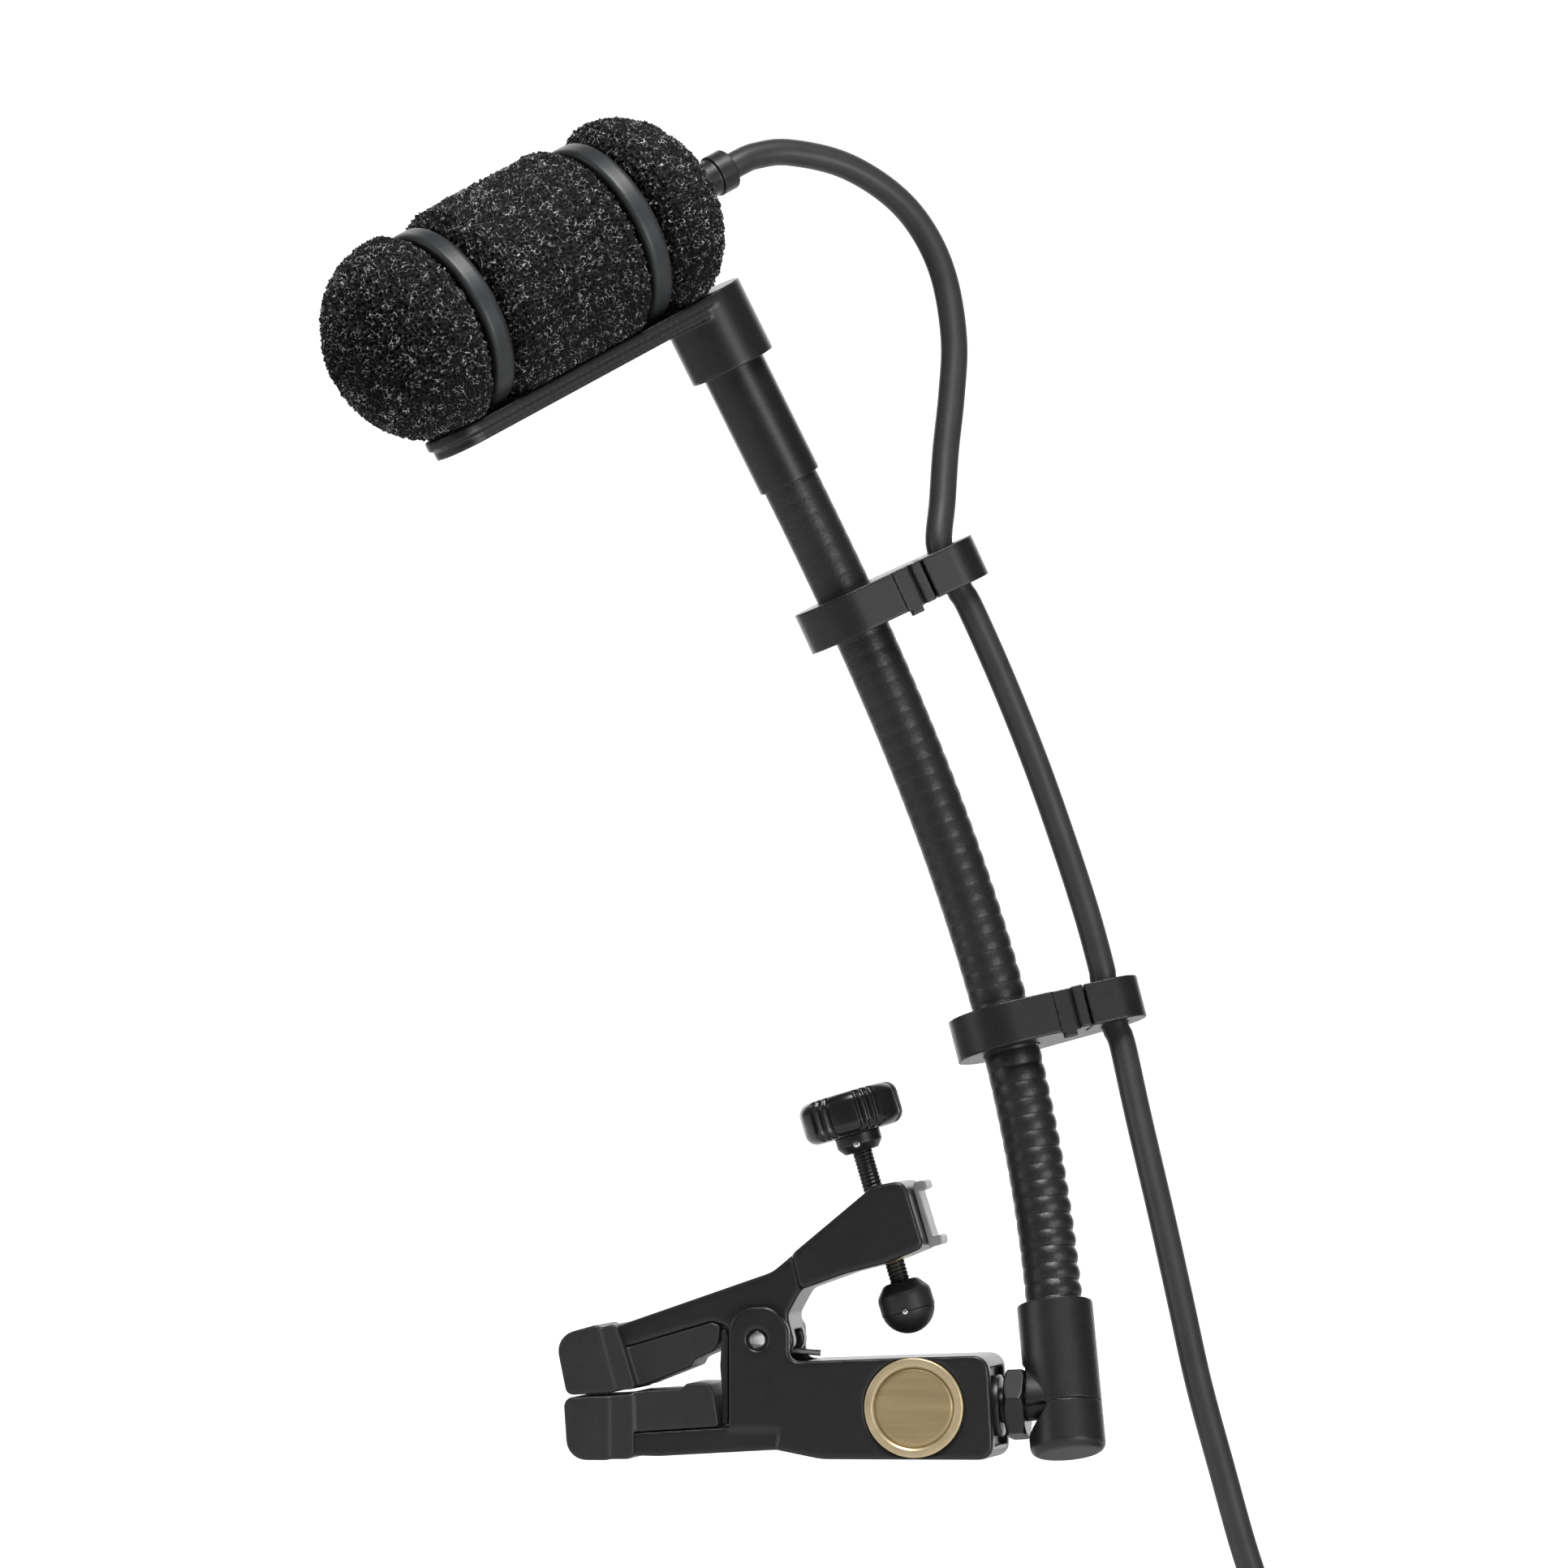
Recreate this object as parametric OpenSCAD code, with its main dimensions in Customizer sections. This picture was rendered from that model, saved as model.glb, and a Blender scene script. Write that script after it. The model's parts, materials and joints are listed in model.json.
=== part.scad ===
// Clip-on gooseneck instrument microphone, millimetres, +Z up.
// Origin: centre of the jaws' gripping line. The jaws open towards -X.

/* [Clip] */
// Width of the clip body across Y
clip_w = 14; // [13:0.5:16]
// Width of the upper lever between the ears
lever_w = 10.8; // [9:0.1:10.8]
// Width of the lever's thumb end
thumb_w = 12.4; // [11:0.1:13.6]
// Radius of the jaw hinge pin
hinge_pin_r = 1.19; // [1.0:0.01:1.19]
// Diameter of the round badge on the clip's side
badge_d = 11.7; // [10:0.1:11.8]
// Diameter of the badge's dished centre
badge_dish_d = 9.5; // [8:0.1:10]

/* [Thumb screw] */
// Lean of the screw from vertical, towards the jaws, in degrees
screw_lean = 16.5; // [14:0.5:18]
// Radius of the threaded spindle
spindle_r = 1.2; // [1.0:0.05:1.2]
// Diameter of the knurled knob
knob_d = 11.8; // [10:0.1:12.5]
// Height of the knurled knob
knob_h = 5; // [4:0.1:5.5]
// Number of grip grooves round the knob
knob_grooves = 18; // [12:1:24]
// Radius of the pressure foot
foot_r = 3.2; // [2.5:0.1:3.4]

/* [Swivel elbow] */
// Rise of the swivel axis towards +X, in degrees
stud_rise = 3; // [0:0.5:4]
// Radius of the swivel stud
stud_r = 2; // [1.5:0.1:2.2]
// Corner-to-centre radius of the hexagonal lock nut
nut_r = 4.4; // [4:0.1:4.6]
// Diameter of the elbow's neck socket
elbow_d = 8.9; // [8.6:0.1:9.2]
// Diameter of the elbow's side boss
boss_d = 8.4; // [7.5:0.1:8.5]

/* [Gooseneck] */
// Outer radius of the neck's sleeve
sleeve_r = 3.35; // [3.3:0.01:3.36]
// Inner radius of the neck's sleeve
sleeve_bore_r = 3.0; // [2.98:0.01:3.02]
// Outer radius of the spring coil inside the sleeve
coil_r = 2.92; // [2.85:0.01:2.94]
// Bore radius of the spring coil
coil_bore_r = 1.7; // [1.4:0.1:2.2]
// Diameter of the ferrule at the neck's top
ferrule_d = 7.6; // [7.4:0.1:7.6]

/* [Cable clips] */
// Height of each clip band
band_h = 5; // [4:0.1:6]
// Outer radius of the ring round the neck
neck_ring_r = 6.4; // [5.5:0.1:6.6]
// Outer radius of the ring round the lead
lead_ring_r = 3.9; // [3:0.1:4.2]
// Distance between the two ring centres
ring_gap = 12.5; // [12:0.1:13]

/* [Microphone head] */
// Outer diameter of the foam windscreen
foam_d = 25.2; // [24.8:0.1:26]
// Length of the foam windscreen
foam_l = 50; // [48:0.5:51]
// Outer radius of each suspension hoop
hoop_r = 11.5; // [11.3:0.1:11.6]
// Height of the microphone's centre line above the socket's rim
head_h = 20.8; // [20.7:0.1:21.1]
// Radius of the microphone's tube
mic_r = 6.1; // [5:0.1:6.5]
// Width of the cradle's bar
bar_w = 9.6; // [8:0.1:10.4]

/* [Lead] */
// Diameter of the lead
lead_d = 3.2; // [3:0.1:3.2]
// Mean radius of the stored coil
coil_mean_r = 18.1; // [18:0.1:19]
// Radial width of the stored coil
coil_band = 19; // [17:0.1:19.4]
// Height of the stored coil
coil_h = 6.4; // [6:0.1:6.6]

/* [Hidden] */
$fn = 48;
eps = 0.01;
sweep_ref = [0, 1, 0];
loop_ref = [-0.5, 0.8, -0.2];

// Level of the surface that the stored lead lies on
floor_z = -37;
lead_r = lead_d / 2;

// Clip: places on the XZ plane
pin_at = [19.65, 0, 6.57];
ear_t = 1.45;
ear_y = clip_w / 2 - ear_t / 2;
block_x = 25.3;
badge_at = [38.2, -1.25];
badge_t = 0.6;
end_wall_x = 45.2;

// Swivel stud axis leaves the clip here
stud_at = [47.3, 0, -1.15];
nut_x = 0.9;
nut_t = 2.4;
boss_x = 3.6;
tee_x = 7.6;
tee_low = -6.2;
tee_seam = -0.4;

// Screw frame: origin at the foot's centre, +Z along the spindle
foot_at = [36.4, 0, 10.4];
foot_split = -0.6;
foot_top = 3.05;
hub_z = 18.9;
hub_pin_r = 0.4;
knob_z = 21;
spindle_end = 25;

// Torsion spring round the pin: its two legs on the lower jaw, then its turns
spring_r = 2.1;
spring_wire = 0.35;
spring_turns = 5;
spring_steps = 12;
spring_path = concat([[26.5, -2.2, 4.95], [22.5, -2.2, 5.2]],
    [for (i = [0:spring_turns * spring_steps])
        let (turn = -30 + 360 * i / spring_steps)
            pin_at + [spring_r * cos(turn), -2.1 + 0.07 * i, spring_r * sin(turn)]]);

// Neck centre line: one cubic curve from the elbow's rim to the ferrule's rim
neck_a = [53.4, 2.8, 10.6];
neck_b = [48.65, 11.65, 47.25];
neck_c = [35.15, 10.75, 78.6];
neck_d = [21.6, 5.5, 107.1];
neck_sides = 24;
// Fractions of the curve where the flexing section starts and ends
flex_from = 0.42;
flex_to = 0.71;
low_clip_t = 0.304;
high_clip_t = 0.823;
// The way each clip reaches out from the neck to the lead, and its latch
clip_side = [0.988, 0.156, 0];
latch_x = 4.9;
latch_w = 2.3;
latch_depth = 0.45;
latch_rise = 0.4;
ridge_w = 1.3;
tab_h = 0.7;
slit_w = 0.3;
elbow_dir = unit(neck_b - neck_a);
ferrule_dir = unit(neck_d - neck_c);

// Head frame: origin at the socket's rim, +Z along the ferrule, +X to the front
ferrule_l = 15;
head_at = neck_d + ferrule_l * ferrule_dir;
head_roll = 16.3;
bar_bottom = 6.7;
bar_top = 9.2;
bar_front = 40;
tip_r = 4.2;
lip_t = 1.25;
lip_in = 0.35;
socket_r = 5.2;
foam_mid = 20.1;
front_hoop_x = 31;
rear_hoop_x = 7.5;
hoop_w = 2.8;
hoop_t = 1.6;
relief_end = -11;

// Lead route, each stretch between two fixings, in round numbers
upper_route = [[17, 8.4, 145.4], [20.5, 10.9, 145.9], [26.4, 14.4, 144.6],
    [31.7, 17, 141.3], [35.4, 18.2, 137], [38, 18.2, 131.3], [39.4, 16.8, 124], [39.4, 15, 117.5],
    [39, 12.9, 110.7], [38.9, 10.9, 104.7]];
middle_route = [[42.3, 9.8, 92.4], [45.9, 10.5, 84.2], [49.7, 11.2, 74.6], [53.1, 11.6, 65],
    [56, 11.4, 56.2], [57.9, 10.9, 49.5]];
lower_route = [[60.4, 9.9, 41], [62.6, 7.8, 32.5], [65.8, 4.9, 20.7], [68.2, 3.1, 11.1],
    [70.5, 1.8, 1.6], [73.3, 0.6, -8], [76.6, -0.5, -19], [79.7, -1.1, -26.5], [84.2, -1.4, -32],
    [90.5, -1.6, -34.4], [98, -1.6, -34.7]];
tail_route = [[98, 50.4, -31.5], [92, 50.2, -31.5], [86, 49, -31.5], [80, 47.7, -31.5],
    [75, 47.1, -31.5], [70, 47, -31.5]];
coil_at = [98, 24.4, floor_z + 0.7];
plug_at = [70, 47, -31.5];
plug_turn = 180;
plug_r = 5.4;
plug_l = 24;
plug_boot_l = 14;
mouth_r = 4.4;
mouth_l = 5;
insert_r = 4.1;
contact_turns = [45, 135, 225, 315];
tie_gap = 0.05;
tie_t = 0.6;

// ---- helpers ----

function unit(v) = v / norm(v);

// Point and direction of the neck's cubic curve at fraction t
function neck_point(t) = pow(1 - t, 3) * neck_a + 3 * pow(1 - t, 2) * t * neck_b
    + 3 * (1 - t) * t * t * neck_c + pow(t, 3) * neck_d;
function neck_dir(t) = unit(pow(1 - t, 2) * (neck_b - neck_a)
    + 2 * (1 - t) * t * (neck_c - neck_b) + t * t * (neck_d - neck_c));

// Rounded outline: each corner is [x, y, radius]
function corner(a, b, c) =
    let (u = unit([a[0] - b[0], a[1] - b[1]]), v = unit([c[0] - b[0], c[1] - b[1]]),
        half = acos(min(1, max(-1, u * v))) / 2, cut = b[2] / tan(half),
        mid = unit(u + v), centre = [b[0], b[1]] + mid * b[2] / sin(half),
        from = [b[0], b[1]] + u * cut - centre, to = [b[0], b[1]] + v * cut - centre,
        start = atan2(from[1], from[0]), turn = atan2(to[1], to[0]) - start,
        sweep = turn > 180 ? turn - 360 : turn < -180 ? turn + 360 : turn,
        steps = max(1, ceil(abs(sweep) / 12)))
    b[2] < 0.02 ? [[b[0], b[1]]]
        : [for (i = [0:steps]) centre + b[2] * [cos(start + sweep * i / steps),
            sin(start + sweep * i / steps)]];
function rounded(p) = [for (i = [0:len(p) - 1])
    each corner(p[(i + len(p) - 1) % len(p)], p[i], p[(i + 1) % len(p)])];

// A side profile in X and Z, extruded across Y and centred on it
module side_plate(outline, width) {
    rotate([90, 0, 0])
        linear_extrude(height = width, center = true)
            polygon(rounded(outline));
}

// Moves a part built along +Z so that +Z points along dir
module aim(at, dir, roll = 0) {
    translate(at)
        rotate([0, acos(dir[2] / norm(dir)), atan2(dir[1], dir[0])])
            rotate([0, 0, roll])
                children();
}

module across_y(at, r, l) {
    translate(at)
        rotate([90, 0, 0])
            cylinder(r = r, h = l, center = true);
}

module along_x(r, from, to) {
    translate([from, 0, 0])
        rotate([0, 90, 0])
            cylinder(r = r, h = to - from);
}

// Smooth curve through hand-picked points
function between(a, b, c, d, t) = 0.5 * (2 * b + (c - a) * t
    + (2 * a - 5 * b + 4 * c - d) * t * t + (3 * b - a - 3 * c + d) * t * t * t);
function smooth(p, n) = let (last = len(p) - 1) concat(
    [for (i = [0:last - 1], k = [0:n - 1])
        between(p[max(0, i - 1)], p[i], p[i + 1], p[min(last, i + 2)], k / n)], [p[last]]);

// Rings of a tube swept along a path
function path_dir(p, i) = unit(p[min(len(p) - 1, i + 1)] - p[max(0, i - 1)]);
function ring(at, dir, r, n, ref) = let (u = unit(cross(dir, ref)), v = cross(u, dir))
    [for (k = [0:n - 1]) at + r * (cos(360 * k / n) * u + sin(360 * k / n) * v)];
function rings(p, r, n, ref = sweep_ref) = [for (i = [0:len(p) - 1])
    each ring(p[i], path_dir(p, i), r, n, ref)];
function skin(m, n, from, flip) = [for (i = [0:m - 2], k = [0:n - 1])
    let (a = from + i * n + k, b = from + i * n + (k + 1) % n)
        flip ? [a, a + n, b + n, b] : [a, b, b + n, a + n]];

module cord(p, r, n, ref = sweep_ref) {
    m = len(p);
    polyhedron(rings(p, r, n, ref), concat([[for (k = [n - 1:-1:0]) k]], skin(m, n, 0, false),
        [[for (k = [0:n - 1]) (m - 1) * n + k]]));
}

module hose(p, r, bore, n) {
    m = len(p);
    inner = m * n;
    last = (m - 1) * n;
    start_face = [for (k = [0:n - 1]) let (j = (k + 1) % n) [k, inner + k, inner + j, j]];
    end_face = [for (k = [0:n - 1]) let (j = (k + 1) % n)
        [last + k, last + j, inner + last + j, inner + last + k]];
    polyhedron(concat(rings(p, r, n), rings(p, bore, n)),
        concat(skin(m, n, 0, false), skin(m, n, inner, true), start_face, end_face));
}

// Points of the neck between two fractions, with straight tails into its end fittings
function neck_path(from, to, steps) = [for (i = [0:steps])
    neck_point(from + (to - from) * i / steps)];
function lower_path() = concat([neck_a - 6 * elbow_dir], neck_path(0, flex_from - 0.002, 14));
function middle_path() = neck_path(flex_from, flex_to, 10);
function upper_path() = concat(neck_path(flex_to + 0.002, 1, 10), [neck_d + 6 * ferrule_dir]);

// ---- clip ----

// Lower jaw's arm and block, seen from the side: [x, z, corner radius]
jaw_outline = [[-1.6, -6.95, 1], [8, -7.1, 0], [22.4, -6.25, 5], [27.3, -7.35, 5], [47.6, -7.3, 1.6],
    [46.9, 4.95, 1.8], [block_x, 4.15, 0.9], [23.4, 2.5, 0], [16.3, -3.65, 0], [5.2, -4.35, 0],
    [-1.6, -4.5, 0.8]];
// Each ear that carries the hinge pin
ear_outline = [[16.3, -3.9, 0], [16.3, 10.4, 2.9], [21.6, 10.5, 2.4], [23.4, 8, 1.6],
    [23.4, 4.1, 1.1], [block_x, 4.1, 0], [26.5, -3.9, 0]];

module lower_jaw() {
    color("#2a2b2d")
    difference() {
        union() {
            side_plate(jaw_outline, clip_w - 0.8);
            side_plate([[22, -6.3, 0], [27.3, -7.35, 5], [47.6, -7.3, 1.6], [46.9, 4.95, 1.8],
                [block_x, 4.15, 0.9], [23.2, 2.5, 0]], clip_w);
            for (side = [-1, 1])
                translate([0, side * ear_y, 0])
                    side_plate(ear_outline, ear_t);
        }
        // Room for the lever between the ears
        translate([9, -lever_w / 2 - 0.1, 0.6])
            cube([block_x - 9.4, lever_w + 0.2, 12]);
        across_y([pin_at[0], 0, pin_at[2]], hinge_pin_r + 0.01, clip_w + 2);
        // Pocket for the stud's head, open below
        translate([37, -3.6, -8])
            cube([end_wall_x - 37, 7.2, 10.6]);
        stud_frame()
            along_x(stud_r + 0.05, -4, 2);
        // Shallow panel in the end face with a lip left at top and bottom
        stud_frame()
            translate([-0.9, -5, -4.6])
                cube([2, 10, 9.2]);
        // Seat for the badge
        across_y([badge_at[0], -clip_w / 2, badge_at[1]], badge_d / 2 + 0.02, 2 * badge_t);
    }
}

module hinge_pin() {
    color("#8d8f92")
    difference() {
        across_y(pin_at, hinge_pin_r, clip_w - 0.6);
        across_y(pin_at, hinge_pin_r - 0.3, clip_w);
        translate([pin_at[0] - 0.15, -clip_w / 2, pin_at[2]])
            cube([0.3, clip_w, 2]);
    }
}

lever_outline = [[-1.4, 3.9, 0.8], [3.6, 5.5, 0], [14.1, 8.65, 1], [15.9, 8, 0.6], [16.4, 5.2, 1.2],
    [18, 3.2, 1.2], [21.4, 3.2, 2], [23.9, 6, 1.4], [23, 9.4, 1], [24.6, 12.35, 1.2],
    [30, 14.3, 0], [34.6, 15.5, 0], [39.3, 17.4, 0.9], [36.9, 25.3, 1.3], [33.2, 24.6, 2],
    [21.2, 14.5, 3], [14.6, 12.15, 0], [-1.9, 6.45, 0.9]];
// The thumb end behind the ears, a little wider than the rest
thumb_outline = [[24.6, 12.35, 0.6], [30, 14.3, 0], [34.6, 15.5, 0], [39.3, 17.4, 0.9],
    [36.9, 25.3, 1.3], [33.2, 24.6, 2], [23.6, 16.6, 0.6]];

module upper_lever() {
    color("#26272a")
    difference() {
        union() {
            side_plate(lever_outline, lever_w);
            side_plate(thumb_outline, thumb_w);
        }
        across_y(pin_at, hinge_pin_r + 0.06, clip_w);
        // Room for the spring round the pin
        across_y(pin_at, 3, 5.4);
        translate([pin_at[0], -2.7, pin_at[2] - 4])
            cube([6, 5.4, 5]);
        screw_frame()
            cylinder(r = spindle_r + 0.1, h = 16);
        screw_frame()
            translate([0, 0, 4])
                cylinder(r = 2.22, h = 7.2);
    }
}

module jaw_spring() {
    color("#9a9a98")
    intersection() {
        cord(spring_path, spring_wire, 6);
        translate([15, -2.65, 2])
            cube([14, 5.3, 8]);
    }
}

lower_pad = [[4.6, 0.45, 0.3], [10.8, 0.85, 0], [11.2, 1.45, 0.2], [14, 1.45, 0.2], [14.6, 0, 0.3],
    [15.1, -3.6, 0], [5, -4.3, 0]];
lower_boot_step = [[-2, -0.3, 0.8], [5, 0.2, 0.4], [5.2, -7.45, 1], [-2, -7.5, 1]];
lower_boot = [[-3.3, -0.25, 1.1], [2.2, 0, 0.4], [2.2, -7.6, 0.4], [-2.8, -7.6, 2.4]];

module lower_liner() {
    color("#303133")
    difference() {
        union() {
            side_plate(lower_pad, clip_w - 0.8);
            side_plate(lower_boot_step, clip_w - 0.2);
            side_plate(lower_boot, clip_w + 0.2);
        }
        side_plate(jaw_outline, clip_w - 0.76);
    }
}

upper_pad = [[3.4, 0.6, 0], [5.9, 1.1, 0], [11.6, 3.35, 0], [12, 4.2, 0.2], [14.3, 5.2, 0.2],
    [14.9, 6.2, 0.3], [15.1, 8.2, 0.3], [14.1, 8.6, 0.5], [3.6, 5.5, 0]];
upper_boot_step = [[-2, 0.2, 0.8], [5.35, 0.75, 0.5], [3.8, 5.9, 0.3], [2.9, 8.4, 0.5],
    [-2, 7.2, 1]];
upper_boot = [[-2.9, -0.02, 0.9], [3, 0.35, 0.4], [0.9, 8.35, 0.4], [-4.3, 6.9, 2.4]];

module upper_liner() {
    color("#303133")
    difference() {
        union() {
            side_plate(upper_pad, lever_w - 0.02);
            side_plate(upper_boot_step, clip_w - 0.2);
            side_plate(upper_boot, clip_w + 0.2);
        }
        side_plate(lever_outline, lever_w + 0.04);
    }
}

web_outline = [[15.2, -3.4, 0], [16, -3.4, 0], [16, 6.8, 0.6], [15.7, 7.7, 0], [15.25, 7.7, 0],
    [15, 3.4, 2], [15.3, 0, 2]];

module liner_web() {
    color("#303133")
        side_plate(web_outline, lever_w - 0.4);
}

module end_channel() {
    channel = [[39.35, 17.35, 0], [40.9, 17.8, 0.4], [40.7, 18.9, 0.3], [39.75, 18.75, 0.1],
        [38.15, 23.9, 0.1], [39.1, 24.3, 0.3], [38.8, 25.3, 0.4], [37.5, 24.95, 0.2],
        [37.4, 24.2, 0]];
    color("#b9babb")
    difference() {
        side_plate(channel, 4.6);
        side_plate(lever_outline, thumb_w);
    }
}

module thread_insert() {
    color("#b08d4a")
    intersection() {
        screw_frame()
            translate([0, 0, 4.6])
                difference() {
                    cylinder(r = 2.2, h = 6.4);
                    translate([0, 0, -1])
                        cylinder(r = spindle_r + 0.05, h = 9);
                }
        side_plate(lever_outline, lever_w);
    }
}

module badge_rim() {
    color("#b6a77c")
    difference() {
        across_y([badge_at[0], -clip_w / 2 + badge_t / 2 - 0.2, badge_at[1]], badge_d / 2,
            badge_t);
        across_y([badge_at[0], -clip_w / 2, badge_at[1]], badge_dish_d / 2 + 0.02, 3);
    }
}

module badge_disc() {
    color("#a08a5a")
    across_y([badge_at[0], -clip_w / 2 + badge_t / 2 + 0.1, badge_at[1]], badge_dish_d / 2,
        badge_t - 0.25);
}

// ---- thumb screw ----

module screw_frame() {
    translate(foot_at)
        rotate([0, -screw_lean, 0])
            children();
}

module screw_spindle() {
    color("#2b2c2e")
    screw_frame()
        difference() {
            translate([0, 0, 1])
                cylinder(r = spindle_r, h = spindle_end - 1);
            across_y([0, 0, hub_z + 0.9], hub_pin_r + 0.02, 8);
        }
}

module knob_hub() {
    color("#242527")
    screw_frame()
        difference() {
            rotate_extrude()
                polygon(rounded([[0.6, hub_z, 0], [2, hub_z, 0.3], [2.7, hub_z + 0.9, 0.3],
                    [2.7, knob_z, 0], [0.6, knob_z, 0]]));
            translate([0, 0, hub_z - 1])
                cylinder(r = spindle_r + 0.02, h = 4);
            across_y([0, 0, hub_z + 0.9], hub_pin_r + 0.02, 8);
        }
}

module hub_pin() {
    color("#c9cacb")
    screw_frame()
        across_y([0, 0, hub_z + 0.9], hub_pin_r, 5.3);
}

module thumb_knob() {
    color("#202123")
    screw_frame()
        difference() {
            rotate_extrude()
                polygon(rounded([[0, knob_z + 0.02, 0], [knob_d / 2, knob_z + 0.02, 1.5],
                    [knob_d / 2, knob_z + knob_h, 1.3], [0, knob_z + knob_h, 0]]));
            translate([0, 0, knob_z - 1])
                cylinder(r = spindle_r + 0.02, h = spindle_end - knob_z + 1.02);
            for (i = [0:knob_grooves - 1])
                rotate([0, 0, 360 * i / knob_grooves])
                    translate([knob_d / 2 + 0.15, 0, knob_z - 1])
                        cylinder(r = 0.4, h = knob_h + 2, $fn = 16);
        }
}

module foot_upper() {
    color("#1f2022")
    screw_frame()
        difference() {
            rotate_extrude()
                polygon(rounded([[0, foot_split, 0], [foot_r, foot_split, 0], [foot_r, 1.6, 1.2],
                    [2, foot_top, 1], [0, foot_top, 0]]));
            translate([0, 0, 0.9])
                cylinder(r = spindle_r + 0.05, h = 4);
            foot_pin_hole(0.37);
        }
}

module foot_lower() {
    color("#1f2022")
    screw_frame()
        difference() {
            sphere(r = foot_r);
            translate([0, 0, foot_split - 0.02 + 5])
                cube([10, 10, 10], center = true);
            foot_pin_hole(0.37);
        }
}

module foot_pin_hole(r) {
    translate([0, 0, foot_split])
        rotate([90, 0, 0])
            cylinder(r = r, h = 10, center = true);
}

module foot_pin() {
    color("#c9cacb")
    screw_frame()
        translate([0, 0, foot_split])
            rotate([90, 0, 0])
                cylinder(r = 0.35, h = 2 * foot_r - 0.2, center = true);
}

// ---- swivel elbow ----

// Origin on the clip's end face, +X along the swivel stud
module stud_frame() {
    translate(stud_at)
        rotate([0, -stud_rise, 0])
            children();
}

module swivel_stud() {
    color("#a9abad")
    stud_frame() {
        along_x(stud_r, -3.8, tee_x);
        along_x(3, -3.8, -2.4);
    }
}

module spring_washer() {
    color("#3a3b3d")
    stud_frame()
        difference() {
            along_x(3.6, -0.8, 0.35);
            along_x(stud_r + 0.08, -2, 2);
        }
}

module lock_nut() {
    color("#2c2d2f")
    stud_frame()
        difference() {
            intersection() {
                rotate([18, 0, 0])
                    translate([nut_x, 0, 0])
                        rotate([0, 90, 0])
                            cylinder(r = nut_r, h = nut_t, $fn = 6);
                rotate([0, 90, 0])
                    rotate_extrude()
                        polygon([[0, nut_x], [3.7, nut_x], [nut_r + 0.3, nut_x + 0.6],
                            [nut_r + 0.3, nut_x + nut_t - 0.5], [3.9, nut_x + nut_t], [0, nut_x + nut_t]]);
            }
            along_x(stud_r + 0.01, 0, 5);
        }
}

tee_at = stud_at + tee_x * [cos(stud_rise), 0, sin(stud_rise)];
tee_top = norm(neck_a - tee_at);

module elbow() {
    color("#2b2c2e")
    difference() {
        union() {
            aim(tee_at, neck_a - tee_at)
                translate([0, 0, tee_seam])
                    cylinder(r = elbow_d / 2, h = tee_top - tee_seam);
            stud_frame()
                along_x(boss_d / 2, boss_x, tee_x);
        }
        aim(tee_at, neck_a - tee_at) {
            translate([0, 0, tee_top - 6.2])
                cylinder(r = sleeve_r + 0.02, h = 8);
            translate([0, 0, tee_low - 1])
                cylinder(r = elbow_d / 2 - 1, h = tee_seam - tee_low + 1);
            translate([0, 0, tee_low - 1])
                difference() {
                    cylinder(r = 8, h = tee_seam - tee_low + 1);
                    translate([-9 - elbow_d / 2 + 1.6, 0, 0])
                        cube([18, 18, 30], center = true);
                }
        }
        stud_frame() {
            along_x(stud_r + 0.01, 0, tee_x + 0.1);
            // Spot face that leaves room for the nut
            along_x(nut_r + 0.1, 0, nut_x + nut_t + 0.05);
        }
    }
}

module elbow_cap() {
    color("#2b2c2e")
    difference() {
        aim(tee_at, neck_a - tee_at)
            rotate_extrude()
                polygon(rounded([[0, tee_low, 0], [elbow_d / 2, tee_low, 1.1],
                    [elbow_d / 2, tee_seam - 0.03, 0], [0, tee_seam - 0.03, 0]]));
        stud_frame()
            along_x(boss_d / 2 + 0.02, 0, tee_x);
        stud_frame()
            along_x(stud_r + 0.02, 0, tee_x + 0.2);
    }
}

// ---- gooseneck ----

module neck_coil(p) {
    color("#8b8d90")
        hose(p, coil_r, coil_bore_r, neck_sides);
}

module neck_sleeve(p) {
    color("#232426")
        hose(p, sleeve_r, sleeve_bore_r, neck_sides);
}

module neck_coil_lower() neck_coil(lower_path());
module neck_coil_middle() neck_coil(middle_path());
module neck_coil_upper() neck_coil(upper_path());
module neck_sleeve_lower() neck_sleeve(lower_path());
module neck_sleeve_middle() neck_sleeve(middle_path());
module neck_sleeve_upper() neck_sleeve(upper_path());

// Ferrule: the neck enters below, a turned stub with a ring groove goes up into the socket
module top_ferrule() {
    color("#2d2e30")
    head_frame()
        difference() {
            union() {
                translate([0, 0, -ferrule_l])
                    cylinder(r = ferrule_d / 2, h = ferrule_l + 5.6);
            }
            translate([0, 0, -ferrule_l - 1])
                cylinder(r = sleeve_r + 0.02, h = 7.2);
            translate([0, 0, 2.4])
                rotate_extrude()
                    polygon([[3, 0], [5, 0], [5, 0.9], [3, 0.9]]);
        }
}

module ferrule_ring() {
    color("#141414")
    head_frame()
        translate([0, 0, 2.85])
            rotate_extrude()
                translate([3.42, 0])
                    circle(r = 0.4, $fn = 24);
}

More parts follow.
